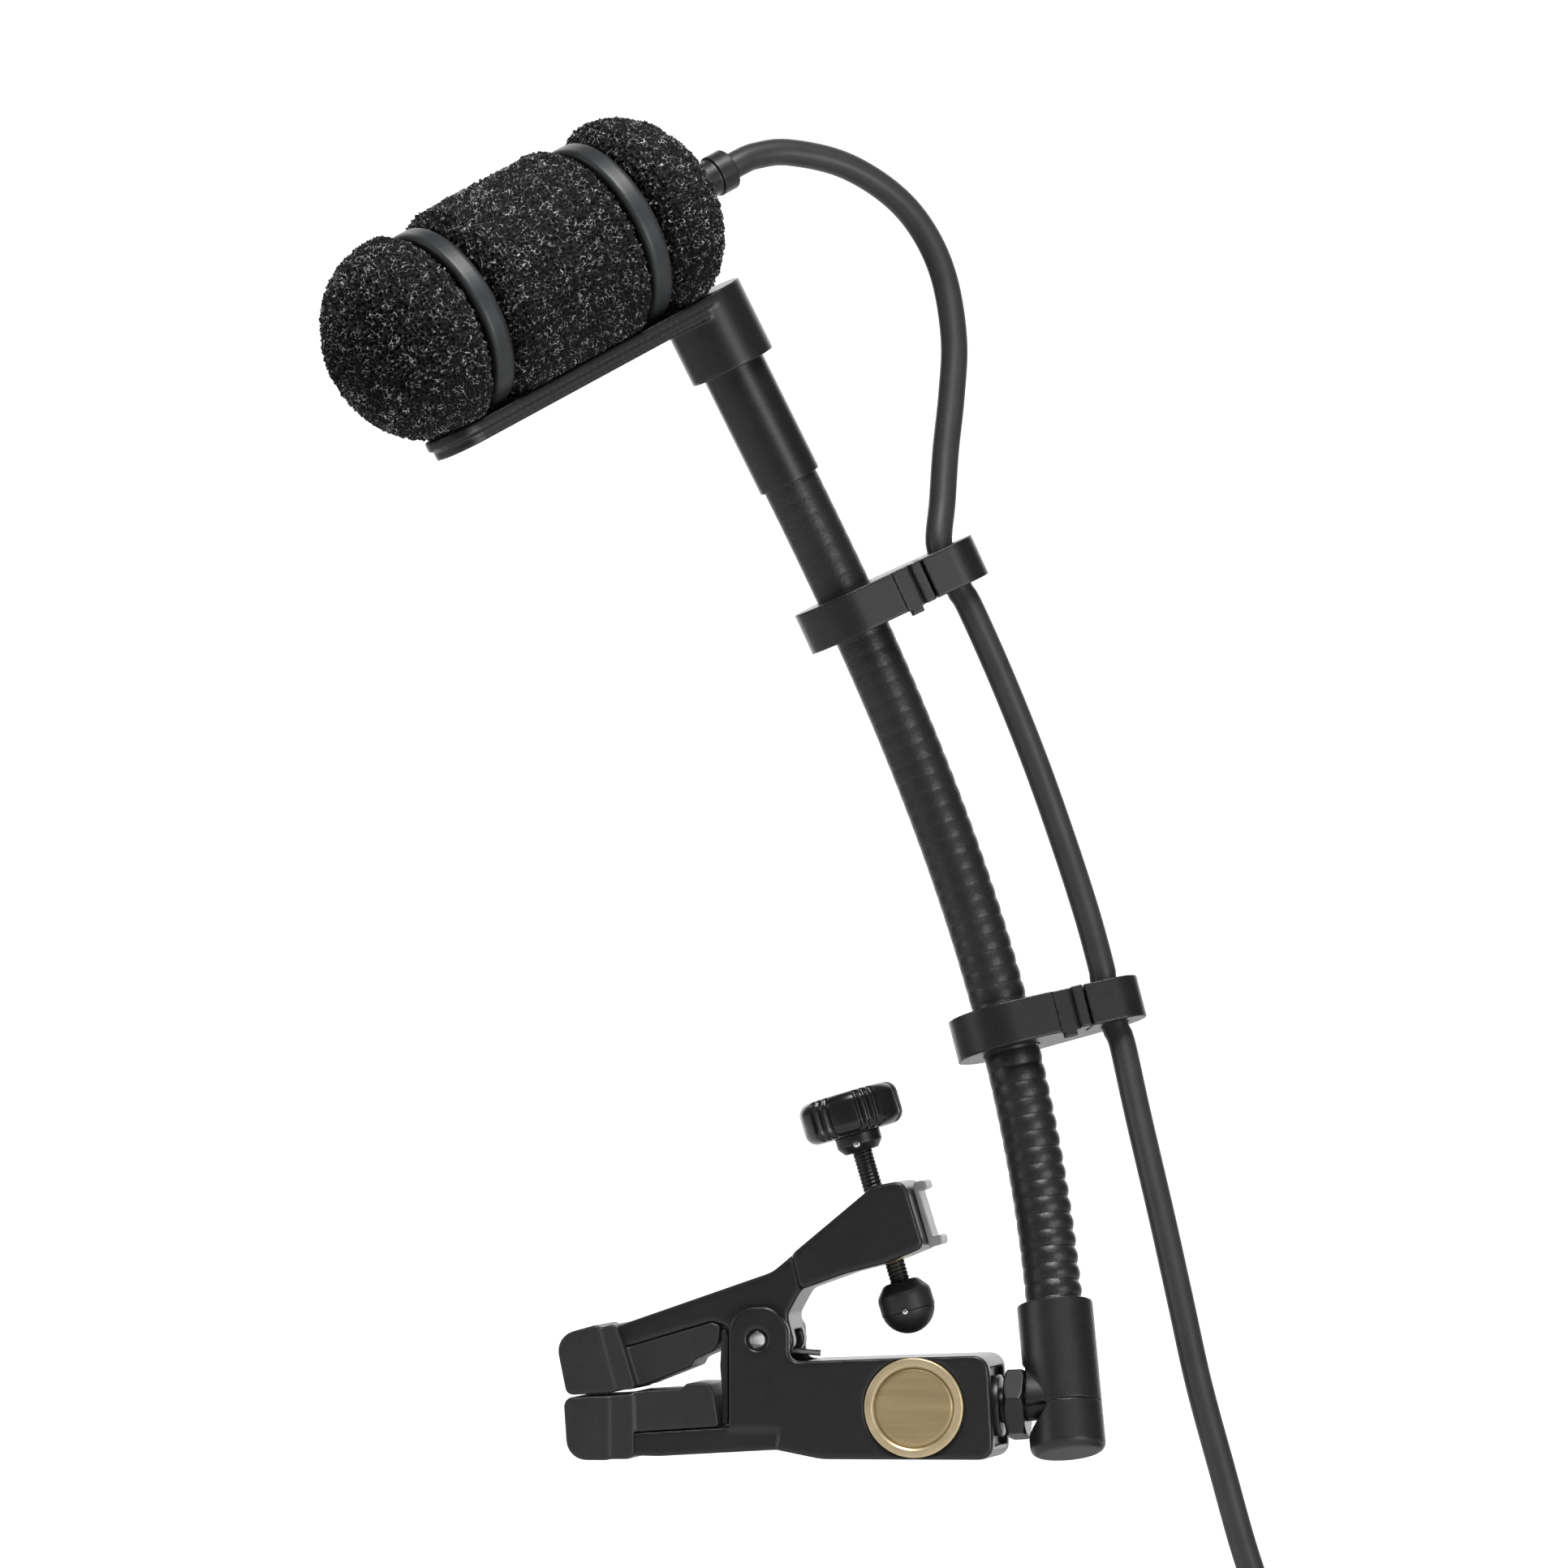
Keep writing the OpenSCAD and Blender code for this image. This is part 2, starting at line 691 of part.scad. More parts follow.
// Cable clip: a pear-shaped band with one ring for the neck and one for the lead
module cable_clip(t) {
    dir = neck_dir(t);
    side = unit(clip_side - (clip_side * dir) * dir);
    tilt = acos(dir[2]);
    heading = atan2(dir[1], dir[0]);
    local_x = [cos(heading) * cos(tilt), sin(heading) * cos(tilt), -sin(tilt)];
    local_y = [-sin(heading), cos(heading), 0];
    tangent = asin((neck_ring_r - lead_ring_r) / ring_gap);
    near = neck_ring_r * cos(tangent);
    far = lead_ring_r * cos(tangent);
    start = neck_ring_r * sin(tangent);
    color("#242527")
    aim(neck_point(t), dir, atan2(side * local_y, side * local_x))
        difference() {
            union() {
                translate([0, 0, -band_h / 2])
                    linear_extrude(height = band_h) {
                        circle(r = neck_ring_r);
                        translate([ring_gap, 0])
                            circle(r = lead_ring_r);
                        polygon([[start, near], [start, -near],
                            [ring_gap + lead_ring_r * sin(tangent), -far],
                            [ring_gap + lead_ring_r * sin(tangent), far]]);
                    }
                // Finger ridge of the latch, and the hook's tab below the band
                translate([start, -near, 0])
                    rotate([0, 0, tangent]) {
                        translate([latch_x + latch_w, -latch_rise, -band_h / 2])
                            cube([ridge_w, latch_rise + 1, band_h]);
                        translate([latch_x + 0.3, 0.2, -band_h / 2 - tab_h])
                            cube([1.6, 1, tab_h + 1]);
                    }
            }
            cylinder(r = sleeve_r + 0.07, h = 2 * band_h, center = true);
            translate([ring_gap, 0, 0])
                cylinder(r = lead_r + 0.12, h = 2 * band_h, center = true);
            // Latch recess on the near side, and the slit where the band opens
            translate([start, -near, 0])
                rotate([0, 0, tangent]) {
                    translate([latch_x, -1, -band_h])
                        cube([latch_w, 1 + latch_depth, 2 * band_h]);
                    translate([latch_x + latch_w + ridge_w, -1, -band_h])
                        cube([slit_w, 4.6, 2 * band_h]);
                }
        }
}

module lower_cable_clip() cable_clip(low_clip_t);
module upper_cable_clip() cable_clip(high_clip_t);

// ---- microphone head ----

module head_frame() {
    aim(head_at, ferrule_dir, head_roll)
        children();
}

// Same, with +Z along the microphone's centre line towards its front
module mic_frame() {
    head_frame()
        translate([0, 0, head_h])
            rotate([0, 90, 0])
                children();
}

// Plan of the cradle's bar: round at the socket, tapering to a rounded tip
module bar_plan(inset) {
    side = bar_w / 2 - inset;
    circle(r = socket_r - inset);
    polygon(rounded([[0, -socket_r + inset, 0], [bar_front - inset, -side, tip_r],
        [bar_front - inset, side, tip_r], [0, socket_r - inset, 0]]));
}

// Socket for the ferrule, and the bar: a wide lip on top of a narrower flange
module cradle() {
    lip_z = bar_top - lip_t;
    color("#2b2c2e")
    head_frame()
        difference() {
            union() {
                cylinder(r = socket_r, h = bar_top);
                translate([0, 0, bar_bottom])
                    linear_extrude(height = lip_z - bar_bottom)
                        bar_plan(lip_in);
                translate([0, 0, lip_z])
                    linear_extrude(height = lip_t)
                        bar_plan(0);
            }
            translate([0, 0, -1])
                cylinder(r = ferrule_d / 2 + 0.05, h = 7);
            for (x = [front_hoop_x, rear_hoop_x])
                translate([x - 1.45, -2.6, bar_top - 1.5])
                    cube([2.9, 5.2, 3]);
        }
}

module hoop(x) {
    color("#1e1f21")
    head_frame()
        difference() {
            union() {
                translate([x, 0, head_h])
                    rotate([0, 90, 0])
                        rotate_extrude()
                            polygon(rounded([[hoop_r - hoop_t, -hoop_w / 2, 0.5],
                                [hoop_r, -hoop_w / 2, 0.7], [hoop_r, hoop_w / 2, 0.7],
                                [hoop_r - hoop_t, hoop_w / 2, 0.5]]));
                translate([x - 1.4, -2.5, bar_top - 1.45])
                    cube([2.8, 5, 2.6]);
            }
            translate([x, 0, head_h])
                rotate([0, 90, 0])
                    cylinder(r = hoop_r - hoop_t, h = 8, center = true);
        }
}

module front_hoop() hoop(front_hoop_x);
module rear_hoop() hoop(rear_hoop_x);

// Foam: rounded ends, a groove for each hoop, a bore for the microphone, flat on the bar
module windscreen() {
    half = foam_l / 2;
    r = foam_d / 2;
    color("#1b1b1c")
    difference() {
        mic_frame()
            difference() {
                translate([0, 0, foam_mid])
                    rotate_extrude()
                        polygon(rounded([[0, -half, 0], [r, -half, 8], [r, half, 10],
                            [0, half, 0]]));
                for (x = [front_hoop_x, rear_hoop_x])
                    translate([0, 0, x - hoop_w / 2 - 0.2])
                        difference() {
                            cylinder(r = r + 2, h = hoop_w + 0.4);
                            translate([0, 0, -1])
                                cylinder(r = hoop_r - hoop_t - 0.03, h = hoop_w + 3);
                        }
                translate([0, 0, foam_mid - half - 1])
                    cylinder(r = mic_r + 0.02, h = 43);
            }
        head_frame()
            translate([-20, -20, bar_top + 0.02 - 20])
                cube([bar_front + 20.3, 40, 20]);
    }
}

module mic_body() {
    color("#3a3b3d")
    mic_frame()
        difference() {
            cylinder(r = mic_r, h = 33);
            translate([0, 0, -1])
                cylinder(r = mic_r - 0.6, h = 40);
        }
}

module front_grille() {
    color("#4a4b4d")
    mic_frame()
        translate([0, 0, 33.02])
            difference() {
                cylinder(r = mic_r, h = 3.6);
                translate([0, 0, -1])
                    cylinder(r = mic_r - 0.5, h = 4);
                for (i = [0:7])
                    rotate([0, 0, 45 * i])
                        translate([3.4, 0, 0])
                            cylinder(r = 0.8, h = 6, $fn = 16);
            }
}

module capsule() {
    color("#c3a55a")
    mic_frame()
        translate([0, 0, 27])
            cylinder(r = mic_r - 0.64, h = 5.5);
}

module circuit_board() {
    color("#2f5f3a")
    mic_frame()
        translate([-0.5, -4, 5])
            cube([1, 8, 20]);
}

module rear_cap() {
    color("#2a2b2d")
    mic_frame()
        difference() {
            translate([0, 0, -2.6])
                cylinder(r = mic_r, h = 2.58);
            translate([0, 0, -4])
                cylinder(r = 2.2, h = 6);
        }
}

module strain_relief() {
    color("#2a2b2d")
    mic_frame()
        difference() {
            union() {
                translate([0, 0, relief_end])
                    cylinder(r = 2.17, h = -relief_end - 0.2);
                translate([0, 0, relief_end])
                    cylinder(r = 2.5, h = 2.2);
            }
            translate([0, 0, relief_end + 2])
                cylinder(r = lead_r, h = 12);
        }
}

// ---- lead, its stored coil and its plug ----

ferrule_tilt = acos(ferrule_dir[2]);
ferrule_heading = atan2(ferrule_dir[1], ferrule_dir[0]);
mic_dir = cos(head_roll) * [cos(ferrule_heading) * cos(ferrule_tilt),
        sin(ferrule_heading) * cos(ferrule_tilt), -sin(ferrule_tilt)]
    + sin(head_roll) * [-sin(ferrule_heading), cos(ferrule_heading), 0];
relief_point = head_at + head_h * ferrule_dir + relief_end * mic_dir;
function lead_ring_point(t) = let (dir = neck_dir(t))
    neck_point(t) + ring_gap * unit(clip_side - (clip_side * dir) * dir);
high_ring = lead_ring_point(high_clip_t);
low_ring = lead_ring_point(low_clip_t);
high_dir = neck_dir(high_clip_t);
low_dir = neck_dir(low_clip_t);

straight = 3;
upper_points = concat([for (out = [eps, 1, 2]) relief_point - out * mic_dir], upper_route,
    [for (rest = [straight, straight / 2, eps]) high_ring + rest * high_dir]);
middle_points = concat([high_ring - eps * high_dir, high_ring - straight * high_dir], middle_route,
    [low_ring + straight * low_dir, low_ring + eps * low_dir]);
lower_points = concat([low_ring - eps * low_dir, low_ring - straight * low_dir], lower_route);

module lead_upper() {
    color("#2c2d2f")
        cord(smooth(upper_points, 2), lead_r, 8, loop_ref);
}

module lead_middle() {
    color("#2c2d2f")
        cord(smooth(middle_points, 1), lead_r, 8);
}

module lead_lower() {
    color("#2c2d2f")
        cord(smooth(lower_points, 1), lead_r, 8);
}

module lead_coil() {
    color("#2c2d2f")
    translate(coil_at)
        rotate_extrude()
            polygon(rounded([[coil_mean_r - coil_band / 2, 0, 1.6],
                [coil_mean_r + coil_band / 2, 0, 1.6], [coil_mean_r + coil_band / 2, coil_h, 1.6],
                [coil_mean_r - coil_band / 2, coil_h, 1.6]]));
}

module coil_tie() {
    color("#1a1a1b")
    translate(coil_at)
        translate([coil_mean_r, 0, coil_h / 2])
            difference() {
                cube([coil_band + 2 * tie_gap + 2 * tie_t, 6, coil_h + 2 * tie_gap + 2 * tie_t],
                    center = true);
                cube([coil_band + 2 * tie_gap, 7, coil_h + 2 * tie_gap], center = true);
            }
}

module lead_tail() {
    color("#2c2d2f")
        cord(smooth(tail_route, 1), lead_r, 8);
}

// Origin where the lead enters the boot, +X towards the plug's mouth
module plug_frame() {
    translate(plug_at)
        rotate([0, 0, plug_turn])
            children();
}

module plug_boot() {
    color("#1c1c1d")
    plug_frame()
        difference() {
            rotate([0, 90, 0])
                rotate_extrude()
                    polygon(rounded([[lead_r, 0, 0], [2.3, 0, 0.3], [3, 6, 3], [4.2, 10, 1],
                        [4.2, plug_boot_l, 0], [lead_r, plug_boot_l, 0]]));
            along_x(lead_r + eps, -1, plug_boot_l + 1);
        }
}

module plug_shell() {
    color("#6d6f72")
    plug_frame()
        difference() {
            along_x(plug_r, plug_boot_l + 0.02, plug_boot_l + plug_l);
            along_x(mouth_r, plug_boot_l + plug_l - mouth_l, plug_boot_l + plug_l + 1);
            along_x(insert_r + 0.02, plug_boot_l + 2, plug_boot_l + plug_l);
            along_x(lead_r + 0.1, plug_boot_l - 1, plug_boot_l + 3);
            // Slot for the latch button
            translate([plug_boot_l + 9, -1.6, 2])
                cube([8, 3.2, 6]);
        }
}

module plug_insert() {
    color("#202020")
    plug_frame()
        difference() {
            along_x(insert_r, plug_boot_l + 8, plug_boot_l + plug_l - mouth_l);
            for (turn = contact_turns)
                contact_place(turn)
                    along_x(0.55, plug_boot_l + 7, plug_boot_l + plug_l);
            translate([plug_boot_l + 8.5, -2, 3.2])
                cube([9, 4, 4]);
        }
}

module contact_place(turn) {
    rotate([turn, 0, 0])
        translate([0, 0, 2])
            children();
}

module plug_contact(turn) {
    color("#c9a84c")
    plug_frame()
        contact_place(turn)
            difference() {
                along_x(0.53, plug_boot_l + 6, plug_boot_l + plug_l - mouth_l - 0.3);
                along_x(0.3, plug_boot_l + 12, plug_boot_l + plug_l);
            }
}

module contact_one() {
    plug_contact(contact_turns[0]);
}

module contact_two() {
    plug_contact(contact_turns[1]);
}

module contact_three() {
    plug_contact(contact_turns[2]);
}

module contact_four() {
    plug_contact(contact_turns[3]);
}

module plug_latch() {
    color("#1c1c1d")
    plug_frame()
        translate([plug_boot_l + 9.3, -1.3, 4.2])
            cube([7.4, 2.6, 2.1]);
}

lower_jaw();
upper_lever();
hinge_pin();
jaw_spring();
lower_liner();
upper_liner();
liner_web();
end_channel();
thread_insert();
badge_rim();
badge_disc();
screw_spindle();
thumb_knob();
knob_hub();
hub_pin();
foot_upper();
foot_lower();
foot_pin();
swivel_stud();
spring_washer();
lock_nut();
elbow();
elbow_cap();
neck_coil_lower();
neck_sleeve_lower();
neck_coil_middle();
neck_sleeve_middle();
neck_coil_upper();
neck_sleeve_upper();
top_ferrule();
ferrule_ring();
lower_cable_clip();
upper_cable_clip();
cradle();
front_hoop();
rear_hoop();
windscreen();
mic_body();
front_grille();
capsule();
circuit_board();
rear_cap();
strain_relief();
lead_upper();
lead_middle();
lead_lower();
lead_coil();
coil_tie();
lead_tail();
plug_boot();
plug_shell();
plug_insert();
contact_one();
contact_two();
contact_three();
contact_four();
plug_latch();
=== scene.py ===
import json
import math

import bmesh
import bpy
import numpy as np
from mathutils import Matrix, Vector, noise


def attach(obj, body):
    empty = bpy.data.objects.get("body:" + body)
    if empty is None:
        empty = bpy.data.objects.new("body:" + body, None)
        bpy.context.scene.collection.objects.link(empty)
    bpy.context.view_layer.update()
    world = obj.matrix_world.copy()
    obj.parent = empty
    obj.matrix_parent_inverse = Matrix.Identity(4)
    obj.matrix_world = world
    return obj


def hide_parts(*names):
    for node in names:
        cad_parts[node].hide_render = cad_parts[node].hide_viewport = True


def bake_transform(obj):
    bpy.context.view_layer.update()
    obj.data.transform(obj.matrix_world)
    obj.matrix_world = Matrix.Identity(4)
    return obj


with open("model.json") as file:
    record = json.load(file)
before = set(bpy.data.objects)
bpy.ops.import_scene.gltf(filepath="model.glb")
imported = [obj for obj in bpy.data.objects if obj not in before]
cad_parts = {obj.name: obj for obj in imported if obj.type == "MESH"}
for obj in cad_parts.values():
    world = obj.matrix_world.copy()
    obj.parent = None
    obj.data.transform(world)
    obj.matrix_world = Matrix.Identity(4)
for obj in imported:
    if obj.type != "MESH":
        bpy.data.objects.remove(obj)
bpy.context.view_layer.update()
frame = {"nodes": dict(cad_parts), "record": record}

# Looks of a clip-on gooseneck microphone. Lengths are millimetres until a mesh is made in metres.
MM = 0.001
BODY_OF = {node: body for body, nodes in frame["record"]["behaviour"]["bodies"].items()
           for node in nodes}

# ---------------------------------------------------------------- frame sizes, as in the part

NECK = np.array([[53.4, 2.8, 10.6], [48.65, 11.65, 47.25], [35.15, 10.75, 78.6], [21.6, 5.5, 107.1]])
NECK_R = 3.35
LOW_CLIP_T, HIGH_CLIP_T = 0.304, 0.823
FERRULE_L = 15
HEAD_ROLL = 16.3
HEAD_H = 20.8
FOAM_MID, FOAM_L, FOAM_R = 20.1, 50, 12.6
FRONT_HOOP_X, REAR_HOOP_X = 31, 7.5
HOOP_R, HOOP_T, HOOP_W = 11.5, 1.6, 2.8
BAR_TOP, BAR_FRONT = 9.2, 40
RELIEF_END = -11
CLIP_SIDE = np.array([0.988, 0.156, 0])
RING_GAP = 12.5
LEAD_R = 1.6
FLOOR_Z = -37
COIL_AT = np.array([98, 24.4])
COIL_R_OUT, COIL_R_IN = 26, 10.2
PLUG_AT = np.array([70, 47, -31.5])
BOOT_L = 14
CLIP_W = 14
BADGE_AT = np.array([38.2, 0, -1.25])
BADGE_R, DISH_R = 5.85, 4.75
SCREW_AT, SCREW_LEAN = np.array([36.4, 0, 10.4]), 16.5
SPINDLE_R, SPINDLE_END = 1.2, 25
KNOB_Z, KNOB_H, KNOB_R = 21, 5, 5.9


def unit(v):
    """A direction brought to length 1."""
    v = np.asarray(v, float)
    return v / np.linalg.norm(v)


def neck_point(t):
    """A point of the gooseneck's middle line, t from 0 at the elbow to 1 at the ferrule."""
    a, b, c, d = NECK
    return (1 - t) ** 3 * a + 3 * (1 - t) ** 2 * t * b + 3 * (1 - t) * t * t * c + t ** 3 * d


def neck_dir(t):
    """The gooseneck's direction at that point."""
    a, b, c, d = NECK
    return unit((1 - t) ** 2 * (b - a) + 2 * (1 - t) * t * (c - b) + t * t * (d - c))


def axes(z, x_hint):
    """Rows are the X, Y and Z directions of a frame whose Z is z and whose X leans to x_hint."""
    z = unit(z)
    x = unit(np.asarray(x_hint, float) - np.dot(x_hint, z) * z)
    return np.array([x, np.cross(z, x), z])


def placed(points, at, frame_axes):
    """Points given in a local frame, moved to the row frame."""
    return np.asarray(points, float) @ frame_axes + np.asarray(at, float)


FERRULE_DIR = neck_dir(1)
HEAD_AT = NECK[3] + FERRULE_L * FERRULE_DIR
TILT = math.acos(FERRULE_DIR[2])
HEADING = math.atan2(FERRULE_DIR[1], FERRULE_DIR[0])
ROLL = math.radians(HEAD_ROLL)
MIC_DIR = (math.cos(ROLL) * np.array([math.cos(HEADING) * math.cos(TILT),
                                      math.sin(HEADING) * math.cos(TILT), -math.sin(TILT)])
           + math.sin(ROLL) * np.array([-math.sin(HEADING), math.cos(HEADING), 0]))
MIC_AT = HEAD_AT + HEAD_H * FERRULE_DIR
MIC_AXES = axes(MIC_DIR, -FERRULE_DIR)
LEAN = math.radians(SCREW_LEAN)
SCREW_DIR = np.array([-math.sin(LEAN), 0, math.cos(LEAN)])
SCREW_AXES = axes(SCREW_DIR, [1, 0, 0])
PLUG_AXES = axes([-1, 0, 0], [0, 0, 1])


# ---------------------------------------------------------------- camera, lights and floor

# The picture's frame is 184 mm wide and high, seen level, 9 degrees round from the front
VIEW_TURN = math.radians(9)
VIEW_WIDTH = 184
VIEW_CENTRE = np.array([21.24, 3.36, 71.5])
LENS, SENSOR = 400, 36
# Each soft light: turn from the camera's side and height above level in degrees, then its
# distance and size in metres and its power
LIGHTS = {
    "key_light": (38, -4, 0.9, 0.4, 5.5),
    "fill_light": (-75, 10, 1.0, 0.5, 3),
    "top_light": (8, 62, 0.8, 0.35, 11),
    "back_light": (180, 8, 1.0, 1.5, 14),
}
WORLD_LIGHT, BACKDROP = 0.12, 1.6
FLOOR_R = 0.36


def add_camera():
    data = bpy.data.cameras.new("camera")
    data.lens, data.sensor_width = LENS, SENSOR
    data.clip_start, data.clip_end = 0.05, 20
    camera = bpy.data.objects.new("camera", data)
    bpy.context.scene.collection.objects.link(camera)
    away = np.array([math.sin(VIEW_TURN), -math.cos(VIEW_TURN), 0])
    camera.location = (VIEW_CENTRE + away * VIEW_WIDTH * LENS / SENSOR) * MM
    camera.rotation_euler = (math.pi / 2, 0, VIEW_TURN)
    bpy.context.scene.camera = camera


def add_light(name, turn, height, distance, size, power):
    """A square soft light that shines on the middle of the view."""
    data = bpy.data.lights.new(name, "AREA")
    data.shape, data.size, data.energy = "SQUARE", size, power
    light = bpy.data.objects.new(name, data)
    bpy.context.scene.collection.objects.link(light)
    a, e = VIEW_TURN + math.radians(turn), math.radians(height)
    away = Vector((math.sin(a) * math.cos(e), -math.cos(a) * math.cos(e), math.sin(e)))
    light.location = Vector(VIEW_CENTRE * MM) + away * distance
    light.rotation_euler = away.to_track_quat("Z", "Y").to_euler()


def add_studio():
    """Lights, weak light from all round, and a white backdrop that only the camera sees."""
    bpy.context.scene.view_settings.view_transform = "Standard"
    world = bpy.data.worlds.new("studio")
    bpy.context.scene.world = world
    world.use_nodes = True
    nodes, links = world.node_tree.nodes, world.node_tree.links
    shade = nodes["Background"]
    shade.inputs["Color"].default_value = (1, 1, 1, 1)
    shade.inputs["Strength"].default_value = WORLD_LIGHT
    backdrop = nodes.new("ShaderNodeBackground")
    backdrop.inputs["Strength"].default_value = BACKDROP
    seen = nodes.new("ShaderNodeLightPath")
    mix = nodes.new("ShaderNodeMixShader")
    links.new(seen.outputs["Is Camera Ray"], mix.inputs["Fac"])
    links.new(shade.outputs[0], mix.inputs[1])
    links.new(backdrop.outputs[0], mix.inputs[2])
    links.new(mix.outputs[0], nodes["World Output"].inputs["Surface"])
    for name, settings in LIGHTS.items():
        add_light(name, *settings)


def add_floor():
    """A pale round floor just under the coiled lead."""
    bm = bmesh.new()
    bmesh.ops.create_circle(bm, cap_ends=True, segments=96, radius=FLOOR_R)
    mesh = bpy.data.meshes.new("floor")
    bm.to_mesh(mesh)
    bm.free()
    floor = bpy.data.objects.new("floor", mesh)
    bpy.context.scene.collection.objects.link(floor)
    floor.location = (0.045, 0.02, FLOOR_Z * MM - 0.0002)
    floor.data.materials.append(paint("floor_paint", (0.8, 0.8, 0.8), 0.7, grain=2, depth=0.02))


# ---------------------------------------------------------------- materials

def paint(name, colour, rough, spread=0.05, grain=0.25, depth=0.01, mottle=0.12, metallic=0.0,
          stretch=(1, 1, 1), specular=0.3, pits=0.0, pit_size=1.0, sticky=False):
    """A moulded, cast or rubbery surface: slow colour and gloss changes, fine grain, optional pits.
    Sizes and depths are millimetres. A sticky one reads its place at rest from the mesh."""
    material = bpy.data.materials.new(name)
    material.use_nodes = True
    nodes, links = material.node_tree.nodes, material.node_tree.links
    shader = nodes["Principled BSDF"]
    shader.inputs["Metallic"].default_value = metallic
    shader.inputs["Specular IOR Level"].default_value = specular
    if sticky:
        place = nodes.new("ShaderNodeAttribute")
        place.attribute_name = "rest_place"
        spot = place.outputs["Vector"]
    else:
        place = nodes.new("ShaderNodeTexCoord")
        spot = place.outputs["Object"]
    scale = nodes.new("ShaderNodeVectorMath")
    scale.operation = "MULTIPLY"
    scale.inputs[1].default_value = [s / MM for s in stretch]
    links.new(spot, scale.inputs[0])

    def cloud(size, detail):
        texture = nodes.new("ShaderNodeTexNoise")
        texture.inputs["Scale"].default_value = 1 / size
        texture.inputs["Detail"].default_value = detail
        links.new(scale.outputs[0], texture.inputs["Vector"])
        return texture.outputs["Fac"]

    slow = cloud(grain * 14, 3)
    ramp = nodes.new("ShaderNodeValToRGB")
    ramp.color_ramp.elements[0].position = 0.3
    ramp.color_ramp.elements[1].position = 0.7
    ramp.color_ramp.elements[0].color = [*(c * (1 - mottle) for c in colour), 1]
    ramp.color_ramp.elements[1].color = [*(c * (1 + mottle) for c in colour), 1]
    links.new(slow, ramp.inputs["Fac"])
    links.new(ramp.outputs["Color"], shader.inputs["Base Color"])
    gloss = nodes.new("ShaderNodeMapRange")
    gloss.inputs["To Min"].default_value = rough - spread
    gloss.inputs["To Max"].default_value = rough + spread
    links.new(cloud(grain * 3, 4), gloss.inputs["Value"])
    links.new(gloss.outputs["Result"], shader.inputs["Roughness"])
    bump = nodes.new("ShaderNodeBump")
    bump.inputs["Strength"].default_value = 1
    bump.inputs["Distance"].default_value = depth * MM
    links.new(cloud(grain, 3), bump.inputs["Height"])
    last = bump
    if pits:
        cells = nodes.new("ShaderNodeTexVoronoi")
        cells.feature = "SMOOTH_F1"
        cells.inputs["Scale"].default_value = 1 / pit_size
        links.new(scale.outputs[0], cells.inputs["Vector"])
        last = nodes.new("ShaderNodeBump")
        last.inputs["Strength"].default_value = 1
        last.inputs["Distance"].default_value = pits * MM
        links.new(cells.outputs["Distance"], last.inputs["Height"])
        links.new(bump.outputs["Normal"], last.inputs["Normal"])
    links.new(last.outputs["Normal"], shader.inputs["Normal"])
    return material


MATERIALS = {
    "black_plastic": paint("black_plastic", (0.007, 0.007, 0.0076), 0.36, grain=0.18, depth=0.006),
    "knob_plastic": paint("knob_plastic", (0.006, 0.006, 0.0065), 0.26, grain=0.3, depth=0.004),
    "black_metal": paint("black_metal", (0.007, 0.007, 0.0075), 0.34, grain=0.14, depth=0.008),
    "cast_metal": paint("cast_metal", (0.009, 0.009, 0.0095), 0.38, grain=0.12, depth=0.02),
    "bright_steel": paint("bright_steel", (0.62, 0.62, 0.63), 0.28, metallic=1, grain=0.2, depth=0.003),
    "light_zinc": paint("light_zinc", (0.2, 0.205, 0.2), 0.42, metallic=0.6, grain=0.3, depth=0.006),
    "brass_insert": paint("brass_insert", (0.5, 0.37, 0.15), 0.35, metallic=1, grain=0.2, depth=0.004),
    "badge_rim": paint("badge_rim", (0.38, 0.31, 0.19), 0.42, metallic=0.7, grain=0.3, depth=0.004),
    "badge_dish": paint("badge_dish", (0.27, 0.205, 0.11), 0.45, metallic=0.7, grain=0.12,
                        depth=0.006, stretch=(0.06, 1, 1), mottle=0.2),
    "gold_brass": paint("gold_brass", (0.75, 0.55, 0.22), 0.28, metallic=1, grain=0.2, depth=0.003),
    "liner_rubber": paint("liner_rubber", (0.011, 0.011, 0.0115), 0.46, grain=0.22, depth=0.012),
    "hoop_rubber": paint("hoop_rubber", (0.016, 0.017, 0.018), 0.42, grain=0.35, depth=0.01,
                         mottle=0.25),
    "web_rubber": paint("web_rubber", (0.011, 0.011, 0.0115), 0.46, grain=0.22, depth=0.012,
                        sticky=True),
    "sleeve_rubber": paint("sleeve_rubber", (0.009, 0.009, 0.0095), 0.4, grain=0.25, depth=0.02,
                           pits=0.03, pit_size=0.5, sticky=True),
    "coil_steel": paint("coil_steel", (0.35, 0.35, 0.36), 0.35, metallic=1, grain=0.2, depth=0.003,
                        sticky=True),
    "lead_jacket": paint("lead_jacket", (0.020, 0.020, 0.021), 0.44, grain=0.2, depth=0.008,
                         sticky=True),
    "relief_plastic": paint("relief_plastic", (0.013, 0.013, 0.014), 0.38, grain=0.2, depth=0.006),
    "tie_fabric": paint("tie_fabric", (0.012, 0.012, 0.013), 0.8, grain=0.12, depth=0.05),
    "board": paint("board", (0.02, 0.09, 0.03), 0.4, grain=0.3, depth=0.01),
    "plug_metal": paint("plug_metal", (0.16, 0.165, 0.17), 0.32, metallic=0.9, grain=0.2, depth=0.004),
}


# ---------------------------------------------------------------- mesh helpers

SHARP_TURNED, SHARP_CAD = math.radians(50), math.radians(40)
WELD_M, FLAT_ANGLE = 2e-6, math.radians(0.8)


